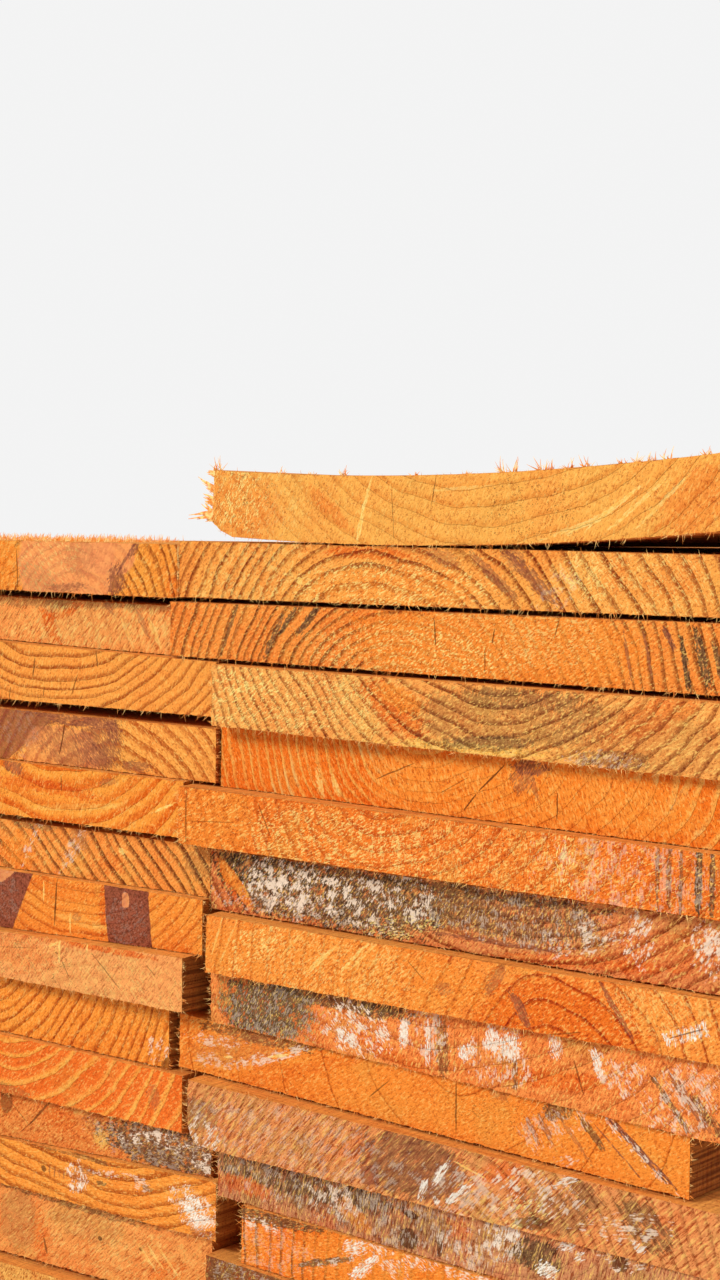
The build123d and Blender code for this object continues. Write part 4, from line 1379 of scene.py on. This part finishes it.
def select_in_edit(obj: bpy.types.Object, kind: str, test: Callable[..., bool]) -> int:
    """Select the vertices or edges in edit mode that pass a test, and nothing else.

    Args:
        obj: The object in edit mode.
        kind: verts or edges.
        test: Takes a vertex's place or an edge's two places.

    Returns:
        How many were selected.
    """
    bpy.ops.mesh.select_all(action="DESELECT")
    bpy.ops.mesh.select_mode(type={"verts": "VERT", "edges": "EDGE"}[kind])
    mesh = bmesh.from_edit_mesh(obj.data)
    count = 0
    for item in getattr(mesh, kind):
        chosen = test(item.co) if kind == "verts" else test(item.verts[0].co, item.verts[1].co)
        item.select_set(chosen)
        count += chosen
    mesh.select_flush_mode()
    bmesh.update_edit_mesh(obj.data)
    return count


def lies_along(axis: int, start: Vector, end: Vector) -> bool:
    """Tell an edge that lies along an axis, 0 for X, 1 for Y and 2 for Z."""
    step = end - start
    return abs(step[axis]) > ALONG * step.length


def apply_group(obj: bpy.types.Object, tree: bpy.types.NodeTree, **inputs: object) -> None:
    """Add a Geometry Nodes modifier, give it its values and apply it.

    Args:
        obj: The object.
        tree: The modifier's group.
        **inputs: The group's inputs, with an underscore for each space in a name.
    """
    modifier = obj.modifiers.new(tree.name, "NODES")
    modifier.node_group = tree
    names = {item.name: item.identifier for item in tree.interface.items_tree if item.in_out == "INPUT"}
    for key, value in inputs.items():
        modifier[names[key.replace("_", " ")]] = value
    obj.update_tag()
    bpy.context.view_layer.objects.active = obj
    bpy.ops.object.modifier_apply(modifier=modifier.name)


@dataclass(frozen=True)
class FibreRow:
    """A row of torn fibres: its line, how they are turned, in degrees, and their sizes in fibre lengths."""

    start: Corner
    end: Corner
    count: int
    turn_low: tuple[float, float, float]
    turn_high: tuple[float, float, float]
    size_low: tuple[float, float, float]
    size_high: tuple[float, float, float]


@dataclass(frozen=True)
class EndCorners:
    """The four corners of a board's shown end, between which its torn fibres stand."""

    low_left: Corner
    low_right: Corner
    top_left: Corner
    top_right: Corner


RIM = 0.012             # depth of the finely divided band at each end
LONG_CUTS = 39          # cuts along the board between those bands
LEAST_CELL = 0.008      # cells narrower than this aren't divided across
ALONG = 0.9             # share of an edge's length that has to lie along an axis
LONG_EDGE = 1.0         # edges longer than this run between the two bands
SMOOTH_ANGLE = 40       # faces that meet at less than this, in degrees, are shaded smooth
GOLDEN_SHARE = 0.618    # steps of this size give neighbouring boards different amounts of painted shade on their sides
SEED_STEP = 100         # a board has fewer rows of fibres than this, so no two share a seed


@dataclass
class SawnBoard:
    """One rough-sawn board of the stack, with its torn fibres."""

    node: str
    shapes: ShapeGroups
    groups: WoodGroups
    fibre: bpy.types.Object
    fibre_wood: bpy.types.Material
    seed: int
    cells_across: int = 16
    near_across: int = 12
    near_up: int = 9
    rim_rows: int = 6
    wear_depth: float = 0.0009
    relief: float = 0.0002
    # the least painted shade on a board's sides, and how much more a board may get
    side_shade_least: float = 0.3
    side_shade_range: float = 0.55
    low_fibres: int = 300
    top_fibres: int = 150
    side_fibres: int = 40
    fibre_inset: float = 0.0004
    section: FlatSection = field(init=False)

    def __post_init__(self) -> None:
        """Read the board's sizes from the frame."""
        self.section = self.measure()

    def measure(self) -> FlatSection:
        """Read the board's section from its solid."""
        return measure_flat(self.node)

    def build(self) -> list[bpy.types.Object]:
        """Make the board and its fibres, and dress them.

        Returns:
            The pieces.
        """
        board = self.cut_board()
        self.wear_board(board)
        # each board's sides get their own amount of painted shade
        side_shade_amount = self.side_shade_least + self.side_shade_range * (self.seed * GOLDEN_SHARE % 1)
        material = BoardMaterial(self.node + "_wood", FINISHES[self.node], self.groups, side_shade_amount).build()
        board.data.materials.clear()
        board.data.materials.append(material)
        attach(board, ROOT)
        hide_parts(self.node)
        fibres = self.tear_fibres()
        fibres.data.materials.clear()
        fibres.data.materials.append(self.fibre_wood)
        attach(fibres, ROOT)
        return [board, fibres]

    def cut_board(self) -> bpy.types.Object:
        """Shape a block to the board's section and cut it into fine cells at its ends.

        Returns:
            The board before wear.
        """
        section = self.section
        deselect_all()
        low = Vector((section.left, section.near_left, section.low_left))
        high = Vector((section.right, section.far, section.top_left))
        bpy.ops.mesh.primitive_cube_add(size=1, location=(low + high) / 2)
        board = bpy.context.object
        board.name = self.node + "_board"
        board.data.name = board.name
        board.scale = high - low
        bpy.ops.object.transform_apply(location=True, rotation=False, scale=True)
        bpy.ops.object.mode_set(mode="EDIT")
        self.taper(board, low, high)
        self.cut_cells(board)
        bpy.ops.object.mode_set(mode="OBJECT")
        bpy.ops.object.shade_smooth_by_angle(angle=math.radians(SMOOTH_ANGLE))
        return board

    def taper(self, board: bpy.types.Object, low: Vector, high: Vector) -> None:
        """Move the block's right side to its own heights and its own end.

        Args:
            board: The block, in edit mode.
            low: The block's lowest corner.
            high: The block's highest corner.
        """
        section = self.section
        right, over, under, near = (high.x - SAME_PLACE, high.z - SAME_PLACE, low.z + SAME_PLACE,
                                    low.y + SAME_PLACE)
        moves = [
            (lambda co: co.x > right and co.z < under, (0, 0, section.low_right - low.z)),
            (lambda co: co.x > right and co.z > over, (0, 0, section.top_right - high.z)),
            (lambda co: co.x > right and co.y < near, (0, section.near_right - low.y, 0)),
        ]
        chosen = []
        mesh = bmesh.from_edit_mesh(board.data)
        mesh.verts.ensure_lookup_table()
        for test, offset in moves:
            chosen.append(([vertex.index for vertex in mesh.verts if test(vertex.co)], offset))
        for indices, offset in chosen:
            bpy.ops.mesh.select_all(action="DESELECT")
            bpy.ops.mesh.select_mode(type="VERT")
            mesh = bmesh.from_edit_mesh(board.data)
            mesh.verts.ensure_lookup_table()
            for index in indices:
                mesh.verts[index].select_set(True)
            mesh.select_flush_mode()
            bmesh.update_edit_mesh(board.data)
            if Vector(offset).length > 0:
                bpy.ops.transform.translate(value=offset, orient_type="GLOBAL")

    def cut_cells(self, board: bpy.types.Object) -> None:
        """Cut a narrow band off each end, then divide the faces.

        Args:
            board: The board, in edit mode.
        """
        section = self.section
        skew = Vector((section.right - section.left, section.near_right - section.near_left, 0))
        across = skew.normalized()
        near_cut = Vector((section.left, section.near_left + RIM, 0))
        far_cut = Vector((section.left, section.far - RIM, 0))
        for corner, normal in ((near_cut, Vector((-across.y, across.x, 0))), (far_cut, Vector((0, 1, 0)))):
            bpy.ops.mesh.select_all(action="SELECT")
            bpy.ops.mesh.bisect(plane_co=corner, plane_no=normal)

        self.divide_across(board, lambda start, end: lies_along(0, start, end))
        self.divide(board, lambda start, end: lies_along(2, start, end), 1)
        self.divide(board, lambda start, end: lies_along(1, start, end)
                    and (end - start).length > LONG_EDGE, LONG_CUTS)
        self.divide_ends(board)

    def divide_across(self, board: bpy.types.Object, along_x: Callable[[Vector, Vector], bool]) -> None:
        """Divide the edges that run across the board."""
        self.divide(board, along_x, self.cells_across - 1)

    def divide_ends(self, board: bpy.types.Object) -> None:
        """Divide the bands at both ends finely, and the shown end most.

        Args:
            board: The board, in edit mode.
        """
        section = self.section
        tiny = SAME_PLACE

        def from_near(co: Vector) -> float:
            """Depth behind the shown end."""
            return co.y - section.near(co.x)

        def from_far(co: Vector) -> float:
            """Depth before the far end."""
            return section.far - co.y

        shown = (from_near, self.near_across, self.near_up, self.rim_rows)
        hidden = (from_far, self.near_across // 2, self.near_up // 2, self.rim_rows // 2)
        for depth, across, up, rows in (shown, hidden):
            def lies(axis: int, start: Vector, end: Vector, limit: float) -> bool:
                """Tell an edge along an axis that is no deeper than a limit."""
                return lies_along(axis, start, end) and max(depth(start), depth(end)) < limit

            def wide(start: Vector, end: Vector) -> bool:
                """Tell an edge across the end that is worth dividing."""
                return lies(0, start, end, tiny) and abs(end.x - start.x) > LEAST_CELL

            self.divide(board, wide, across - 1)
            self.divide(board, lambda start, end: lies(2, start, end, tiny), up - 1)
            self.divide(board, lambda start, end: lies(1, start, end, RIM + tiny), rows - 1)

    def divide(self, board: bpy.types.Object, test: Callable[..., bool], cuts: int) -> None:
        """Divide the edges that pass a test, which takes an edge's two places."""
        if select_in_edit(board, "edges", test):
            bpy.ops.mesh.subdivide(number_cuts=cuts)

    def wear_board(self, board: bpy.types.Object) -> None:
        """Wear the arrises, roughen the ends and bend the board.

        Args:
            board: The board.
        """
        section = self.section
        near = min(section.near_left, section.near_right)
        apply_group(board, self.shapes.wear, Wear=self.wear_depth, Relief=self.relief, Near_Y=near,
                    Far_Y=section.far)
        self.bend(board)

    def bend(self, piece: bpy.types.Object) -> None:
        """Give a flat piece the board's bow."""
        apply_group(piece, self.shapes.bow, Lift=self.section.lift)

    def tear_fibres(self) -> bpy.types.Object:
        """Stand torn fibres along the arrises of the shown end.

        Returns:
            The joined fibres.
        """
        section = self.section
        deselect_all()
        mesh = bpy.data.meshes.new(self.node + "_fibres")
        fibres = bpy.data.objects.new(self.node + "_fibres", mesh)
        bpy.context.scene.collection.objects.link(fibres)
        inset = self.fibre_inset

        def corner(x: float, z: float) -> Corner:
            """A point just behind the shown end."""
            return (x, section.near(x) + inset, z)

        corners = EndCorners(corner(section.left, section.under(section.left) + inset),
                             corner(section.right, section.under(section.right) + inset),
                             corner(section.left, section.over(section.left) - inset),
                             corner(section.right, section.over(section.right) - inset))
        for salt, row in enumerate(self.fibre_rows(corners)):
            self.add_row(fibres, row, salt)
        self.bend(fibres)
        apply_group(fibres, self.shapes.hold, Box_Low=tuple(CAD_LOW), Box_High=tuple(CAD_HIGH))
        return fibres

    def fibre_rows(self, corners: EndCorners) -> list[FibreRow]:
        """List the rows of fibres round the shown end.

        Args:
            corners: The shown end's corners.

        Returns:
            The rows.
        """
        small = (0.3, 0.3, 0.3)
        return [
            FibreRow(corners.low_left, corners.low_right, self.low_fibres, (105, 0, -75), (178, 0, 75),
                     small, (0.8, 0.8, 2.0)),
            FibreRow(corners.top_left, corners.top_right, self.top_fibres, (15, 0, -75), (80, 0, 75),
                     small, (0.7, 0.7, 1.2)),
            FibreRow(corners.low_left, corners.top_left, self.side_fibres, (50, 0, -110), (130, 0, -40),
                     small, (0.8, 0.8, 1.8)),
            FibreRow(corners.low_right, corners.top_right, self.side_fibres, (50, 0, 40), (130, 0, 110),
                     small, (0.8, 0.8, 1.8)),
        ]

    def add_row(self, fibres: bpy.types.Object, row: FibreRow, salt: int) -> None:
        """Stand one row of torn fibres along a line.

        Args:
            fibres: The joined fibres so far.
            row: The row.
            salt: A number that makes this row's draws its own.
        """
        apply_group(fibres, self.shapes.fray, Fibre=self.fibre, Start=row.start, End=row.end, Count=row.count,
                    Turn_Low=tuple(math.radians(angle) for angle in row.turn_low),
                    Turn_High=tuple(math.radians(angle) for angle in row.turn_high),
                    Size_Low=row.size_low, Size_High=row.size_high, Seed=self.seed * SEED_STEP + salt)


@dataclass
class FurryBoard(SawnBoard):
    """A board whose top is furred by the saw from its left edge to past its middle."""

    fur_rows: int = 9
    fur_reach: float = 0.21
    fur_depth: float = 0.11
    fur_start: float = 0.005
    fur_narrowing: float = 0.3
    fur_count: int = 190
    edge_count: int = 160

    def fibre_rows(self, corners: EndCorners) -> list[FibreRow]:
        """List the rows round the shown end and those on the furred top.

        Args:
            corners: The shown end's corners.

        Returns:
            The rows.
        """
        rows = super().fibre_rows(corners)
        rows.append(FibreRow(corners.low_right, corners.top_right, self.edge_count, (70, 0, 60),
                             (110, 0, 120), (0.7, 0.7, 0.5), (1.2, 1.2, 0.9)))
        left, near, top = corners.top_left
        for step in range(self.fur_rows):
            share = step / (self.fur_rows - 1)
            start = (left + self.fur_start, near + self.fur_depth * share, top)
            end = (start[0] + self.fur_reach * (1 - self.fur_narrowing * share), start[1], top)
            rows.append(FibreRow(start, end, self.fur_count, (-25, -40, 0), (25, 40, 0), (0.9, 0.9, 0.9),
                                 (1.3, 1.3, 2.2)))
        return rows


@dataclass
class WornCornerBoard(SawnBoard):
    """A straight board whose lower left corner is worn round."""

    run: float = 0.009
    rise: float = 0.009
    curve: float = 2.6
    corner_cuts: int = 7

    def measure(self) -> FlatSection:
        """Read the board's section, with the corner that the wear took away.

        Returns:
            The section.
        """
        section = measure_flat(self.node)
        section.low_left -= self.rise
        return section

    def cut_cells(self, board: bpy.types.Object) -> None:
        """Divide the board as the others are, with finer cells along the worn corner.

        Args:
            board: The board, in edit mode.
        """
        edge = self.section.left + self.run
        bpy.ops.mesh.select_all(action="SELECT")
        bpy.ops.mesh.bisect(plane_co=(edge, 0, 0), plane_no=(1, 0, 0))
        super().cut_cells(board)

    def divide_across(self, board: bpy.types.Object, along_x: Callable[[Vector, Vector], bool]) -> None:
        """Divide the worn strip into its own cells, and the rest as usual.

        Args:
            board: The board, in edit mode.
            along_x: Tells an edge that runs across the board.
        """
        edge = self.section.left + self.run + SAME_PLACE
        self.divide(board, lambda start, end: along_x(start, end) and max(start.x, end.x) > edge,
                    self.cells_across - 1)
        self.divide(board, lambda start, end: along_x(start, end) and max(start.x, end.x) < edge,
                    self.corner_cuts)

    def bend(self, piece: bpy.types.Object) -> None:
        """Wear the corner round.

        Args:
            piece: The board or its fibres.
        """
        section = self.section
        apply_group(piece, self.shapes.corner, Left=section.left, Low=section.low_left, Top=section.top_left,
                    Run=self.run, Rise=self.rise, Curve=self.curve)


@dataclass
class CuppedBoard(WornCornerBoard):
    """The loose board on top: cupped upwards at both edges, with bark edge missing at its lower left."""

    run: float = 0.013
    rise: float = 0.006
    curve: float = 1.6
    # height below the top, tilt in degrees and length of each bundle of splinters, in millimetres
    splinters: tuple[tuple[float, float, float], ...] = (
        (0.5, 4, 9), (1.5, 16, 6), (8, 18, 13), (9.5, 8, 10), (14.5, 10, 11), (16.5, -2, 8), (22, -9, 17),
        (21.5, 24, 11), (24.5, -10, 12), (25.5, 12, 9))
    # distance from the left edge and length of each tuft along the top
    tufts: tuple[tuple[float, float], ...] = (
        (1, 7), (3, 8), (39, 4), (57, 4), (75, 5), (113, 4.5), (140, 3), (158, 7), (162, 8), (176, 7),
        (180, 6), (189, 5), (197, 6), (213, 4), (220, 5), (226, 5), (233, 5), (250, 4))
    splinter_count: int = 16
    tuft_count: int = 12
    tuft_spread: float = 1.5
    tuft_depth: float = 1.2
    centre_x: float = field(init=False)
    centre_z: float = field(init=False)
    radius: float = field(init=False)

    def measure(self) -> FlatSection:
        """Fit a circle through the top face and unroll the board along it.

        Returns:
            The board's section before it cupped.
        """
        points = solid_points(self.node)
        near = min(point.y for point in points)
        far = max(point.y for point in points)
        ends = [point for point in points if point.y < near + SAME_PLACE]
        left = min(point.x for point in ends)
        right = max(point.x for point in ends)
        third = (right - left) / 3

        def highest(low: float, high: float) -> Vector:
            """Find the highest point of the end between two places across it."""
            return max((point for point in ends if low <= point.x <= high), key=lambda point: point.z)

        first = highest(left, left + third)
        middle = highest(left + third, right - third)
        last = highest(right - third, right)
        self.centre_x, self.centre_z = circle_centre(first, middle, last)
        inner = math.hypot(first.x - self.centre_x, first.z - self.centre_z)
        lower_right = max(ends, key=lambda point: point.x - point.z)
        self.radius = math.hypot(lower_right.x - self.centre_x, lower_right.z - self.centre_z)

        def unrolled(point: Vector) -> float:
            """Give the point's place across the board before it cupped."""
            angle = math.atan2(point.x - self.centre_x, self.centre_z - point.z)
            return self.centre_x + self.radius * angle

        low = self.centre_z - self.radius
        top = self.centre_z - inner
        return FlatSection(unrolled(first), unrolled(last), low, low, top, top, near, near, far)

    def fibre_rows(self, corners: EndCorners) -> list[FibreRow]:
        """List the rows round the shown end, with the torn splinters of its left edge and the tufts on top.

        Args:
            corners: The shown end's corners.

        Returns:
            The rows.
        """
        rows = super().fibre_rows(corners)
        spread, depth = self.tuft_spread * MM, self.tuft_depth * MM
        left, near, top = corners.top_left
        for height, tilt, longest in self.splinters:
            start = (left + spread / 2, near, top - height * MM)
            end = (start[0] + spread / 2, start[1] + depth, start[2] - 2 * spread)
            rows.append(FibreRow(start, end, self.splinter_count, (-10, tilt - 93, 0), (8, tilt - 87, 0),
                                 (2.4, 2.4, longest / 4), (4.2, 4.2, longest / 2)))
        for distance, length in self.tufts:
            start = (left + distance * MM - spread, near, top)
            end = (left + distance * MM + spread, near + depth, top)
            rows.append(FibreRow(start, end, self.tuft_count, (-20, -70, 0), (40, 50, 0),
                                 (0.9, 0.9, length / 6), (1.6, 1.6, length / 2)))
        return rows

    def bend(self, piece: bpy.types.Object) -> None:
        """Wear the corner and cup the board.

        Args:
            piece: The board or its fibres.
        """
        super().bend(piece)
        apply_group(piece, self.shapes.cup, Centre_X=self.centre_x, Centre_Z=self.centre_z,
                    Radius=self.radius)


BOARD_MAKERS = {"top_board": CuppedBoard, "left_board_01": FurryBoard,
                "right_board_10": WornCornerBoard}


def circle_centre(first: Vector, middle: Vector, last: Vector) -> tuple[float, float]:
    """Find the centre of the circle through three points of an upright section.

    Args:
        first: One point.
        middle: Another.
        last: The third.

    Returns:
        The centre's x and z.
    """
    ax, az = middle.x - first.x, middle.z - first.z
    bx, bz = last.x - first.x, last.z - first.z
    cross = 2 * (ax * bz - az * bx)
    a_square, b_square = ax * ax + az * az, bx * bx + bz * bz
    centre_x = first.x + (bz * a_square - az * b_square) / cross
    return centre_x, first.z + (ax * b_square - bx * a_square) / cross


@dataclass(frozen=True)
class TornFibre:
    """One torn fibre: a thin tapered sliver with a bend, standing up from the origin."""

    root_radius: float = 0.00022
    tip_radius: float = 0.00004
    length: float = 0.002
    # above each height, how far the fibre leans over
    leans: tuple[tuple[float, float], ...] = ((0.0012, 0.00012), (0.0018, 0.00035))

    def build(self) -> bpy.types.Object:
        """Model the fibre.

        Returns:
            The fibre, which is copied and then removed.
        """
        deselect_all()
        half = self.length / 2
        bpy.ops.mesh.primitive_cone_add(vertices=3, radius1=self.root_radius, radius2=self.tip_radius,
                                        depth=self.length, location=(0, 0, half), end_fill_type="NGON")
        fibre = bpy.context.object
        fibre.name = "fibre"
        bpy.ops.object.transform_apply(location=True, rotation=False, scale=True)
        bpy.ops.object.mode_set(mode="EDIT")
        select_in_edit(fibre, "edges", lambda start, end: abs(end.z - start.z) > half)
        bpy.ops.mesh.subdivide(number_cuts=2)
        for height, lean in self.leans:
            select_in_edit(fibre, "verts", lambda co, height=height: co.z > height)
            bpy.ops.transform.translate(value=(0, lean, 0), orient_type="GLOBAL")
        bpy.ops.object.mode_set(mode="OBJECT")
        return fibre


# Stage

@dataclass(frozen=True)
class StudioLight:
    """A large soft lamp: where it stands, which way it shines, its power and its width in degrees."""

    name: str
    place: Corner
    aim: Corner
    energy: float
    width: float

    def build(self) -> bpy.types.Object:
        """Make the lamp.

        Returns:
            The lamp.
        """
        deselect_all()
        bpy.ops.object.light_add(type="SUN", location=self.place)
        lamp = bpy.context.object
        lamp.name = self.name
        lamp.data.energy = self.energy
        lamp.data.angle = math.radians(self.width)
        lamp.rotation_euler = Vector(self.aim).to_track_quat("-Z", "Y").to_euler()
        return lamp


@dataclass(frozen=True)
class PaleRoom:
    """The pale floor and backdrop, with two neutral lamps."""

    floor_size: float = 14.0
    floor_tone: float = 0.86
    floor_roughness: float = 0.9
    room_strength: float = 0.4
    backdrop_tone: float = 0.9

    def build(self) -> None:
        """Make the floor, the lamps and the world."""
        floor = self.build_floor()
        self.build_world()
        key = StudioLight("key_light", (-1.5, -3.0, 3.0), (0.5, 1.0, -0.75), 2.5, 18).build()
        fill = StudioLight("fill_light", (2.0, 3.0, 2.5), (-0.5, -1.0, -0.55), 1.3, 30).build()

    def build_floor(self) -> bpy.types.Object:
        """Make the floor.

        Returns:
            The floor.
        """
        deselect_all()
        bpy.ops.mesh.primitive_plane_add(size=self.floor_size, location=(0, 0, 0))
        floor = bpy.context.object
        floor.name = "floor"
        material = bpy.data.materials.new("floor_paint")
        material.use_nodes = True
        wiring = Wiring(material.node_tree)
        grey = (self.floor_tone, self.floor_tone, self.floor_tone, 1)
        shader = wiring.add("ShaderNodeBsdfPrincipled", Base_Color=grey, Roughness=self.floor_roughness)
        wiring.add("ShaderNodeOutputMaterial", Surface=shader.outputs[0])
        floor.data.materials.append(material)
        return floor

    def build_world(self) -> None:
        """Light the room evenly, and show a pale backdrop to the camera and in reflections."""
        world = bpy.data.worlds.new("pale room")
        world.use_nodes = True
        wiring = Wiring(world.node_tree)
        rays = wiring.add("ShaderNodeLightPath")
        clear = wiring.math("MAXIMUM", rays.outputs["Is Glossy Ray"], rays.outputs["Is Transmission Ray"])
        seen = wiring.math("MAXIMUM", rays.outputs["Is Camera Ray"], clear)
        room = wiring.add("ShaderNodeBackground", Color=(1, 1, 1, 1), Strength=self.room_strength)
        grey = (self.backdrop_tone, self.backdrop_tone, self.backdrop_tone, 1)
        backdrop = wiring.add("ShaderNodeBackground", Color=grey, Strength=1.0)
        both = wiring.add("ShaderNodeMixShader")
        for socket, value in zip(both.inputs, (seen, room.outputs[0], backdrop.outputs[0])):
            wiring.feed(socket, value)
        wiring.add("ShaderNodeOutputWorld", Surface=both.outputs[0])
        bpy.context.scene.world = world


@dataclass(frozen=True)
class PhotoCamera:
    """Where the photograph was taken from, relative to the shown ends, in millimetres and degrees."""

    x: float = 653.45
    y: float = -673.81
    z: float = 4.78
    swing: float = 39.8
    pitch: float = 2.9
    roll: float = 0.7
    lens: float = 59.93
    sensor: float = 36.0
    clip_start: float = 0.02

    def build(self) -> bpy.types.Object:
        """Make the scene's camera.

        Returns:
            The camera.
        """
        swing, pitch, roll = (math.radians(angle) for angle in (self.swing, self.pitch, self.roll))
        ahead = Vector((-math.sin(swing) * math.cos(pitch), math.cos(swing) * math.cos(pitch),
                        -math.sin(pitch)))
        level = Vector((math.cos(swing), math.sin(swing), 0))
        upright = level.cross(ahead)
        right = level * math.cos(roll) + upright * math.sin(roll)
        up = upright * math.cos(roll) - level * math.sin(roll)
        place = Vector((self.x + JOINT_X, self.y + END_Y, self.z + COLUMN_TOP_Z)) * MM
        data = bpy.data.cameras.new("photo_camera")
        data.lens = self.lens
        data.sensor_width = self.sensor
        data.clip_start = self.clip_start
        camera = bpy.data.objects.new("photo_camera", data)
        bpy.context.scene.collection.objects.link(camera)
        turn = Matrix((right, up, -ahead)).transposed()
        camera.matrix_world = Matrix.Translation(place) @ turn.to_4x4()
        bpy.context.scene.camera = camera
        return camera


def main() -> None:
    """Build every board, the stage and the camera."""
    logging.basicConfig(level=logging.INFO, format="%(message)s")
    bpy.context.scene.view_settings.view_transform = "Standard"
    PhotoCamera().build()
    PaleRoom().build()
    groups = WoodGroups()
    shapes = ShapeGroups()
    fibre = TornFibre().build()
    fibre_wood = FibreFinish().build()
    names = sorted(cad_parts)
    for seed, name in enumerate(names, start=1):
        maker = BOARD_MAKERS.get(name, SawnBoard)
        pieces = maker(name, shapes, groups, fibre, fibre_wood, seed).build()
        for piece in pieces:
            LOG.info("%s: %d faces", piece.name, len(piece.data.polygons))
    bpy.data.objects.remove(fibre)


if __name__ == "__main__":
    main()
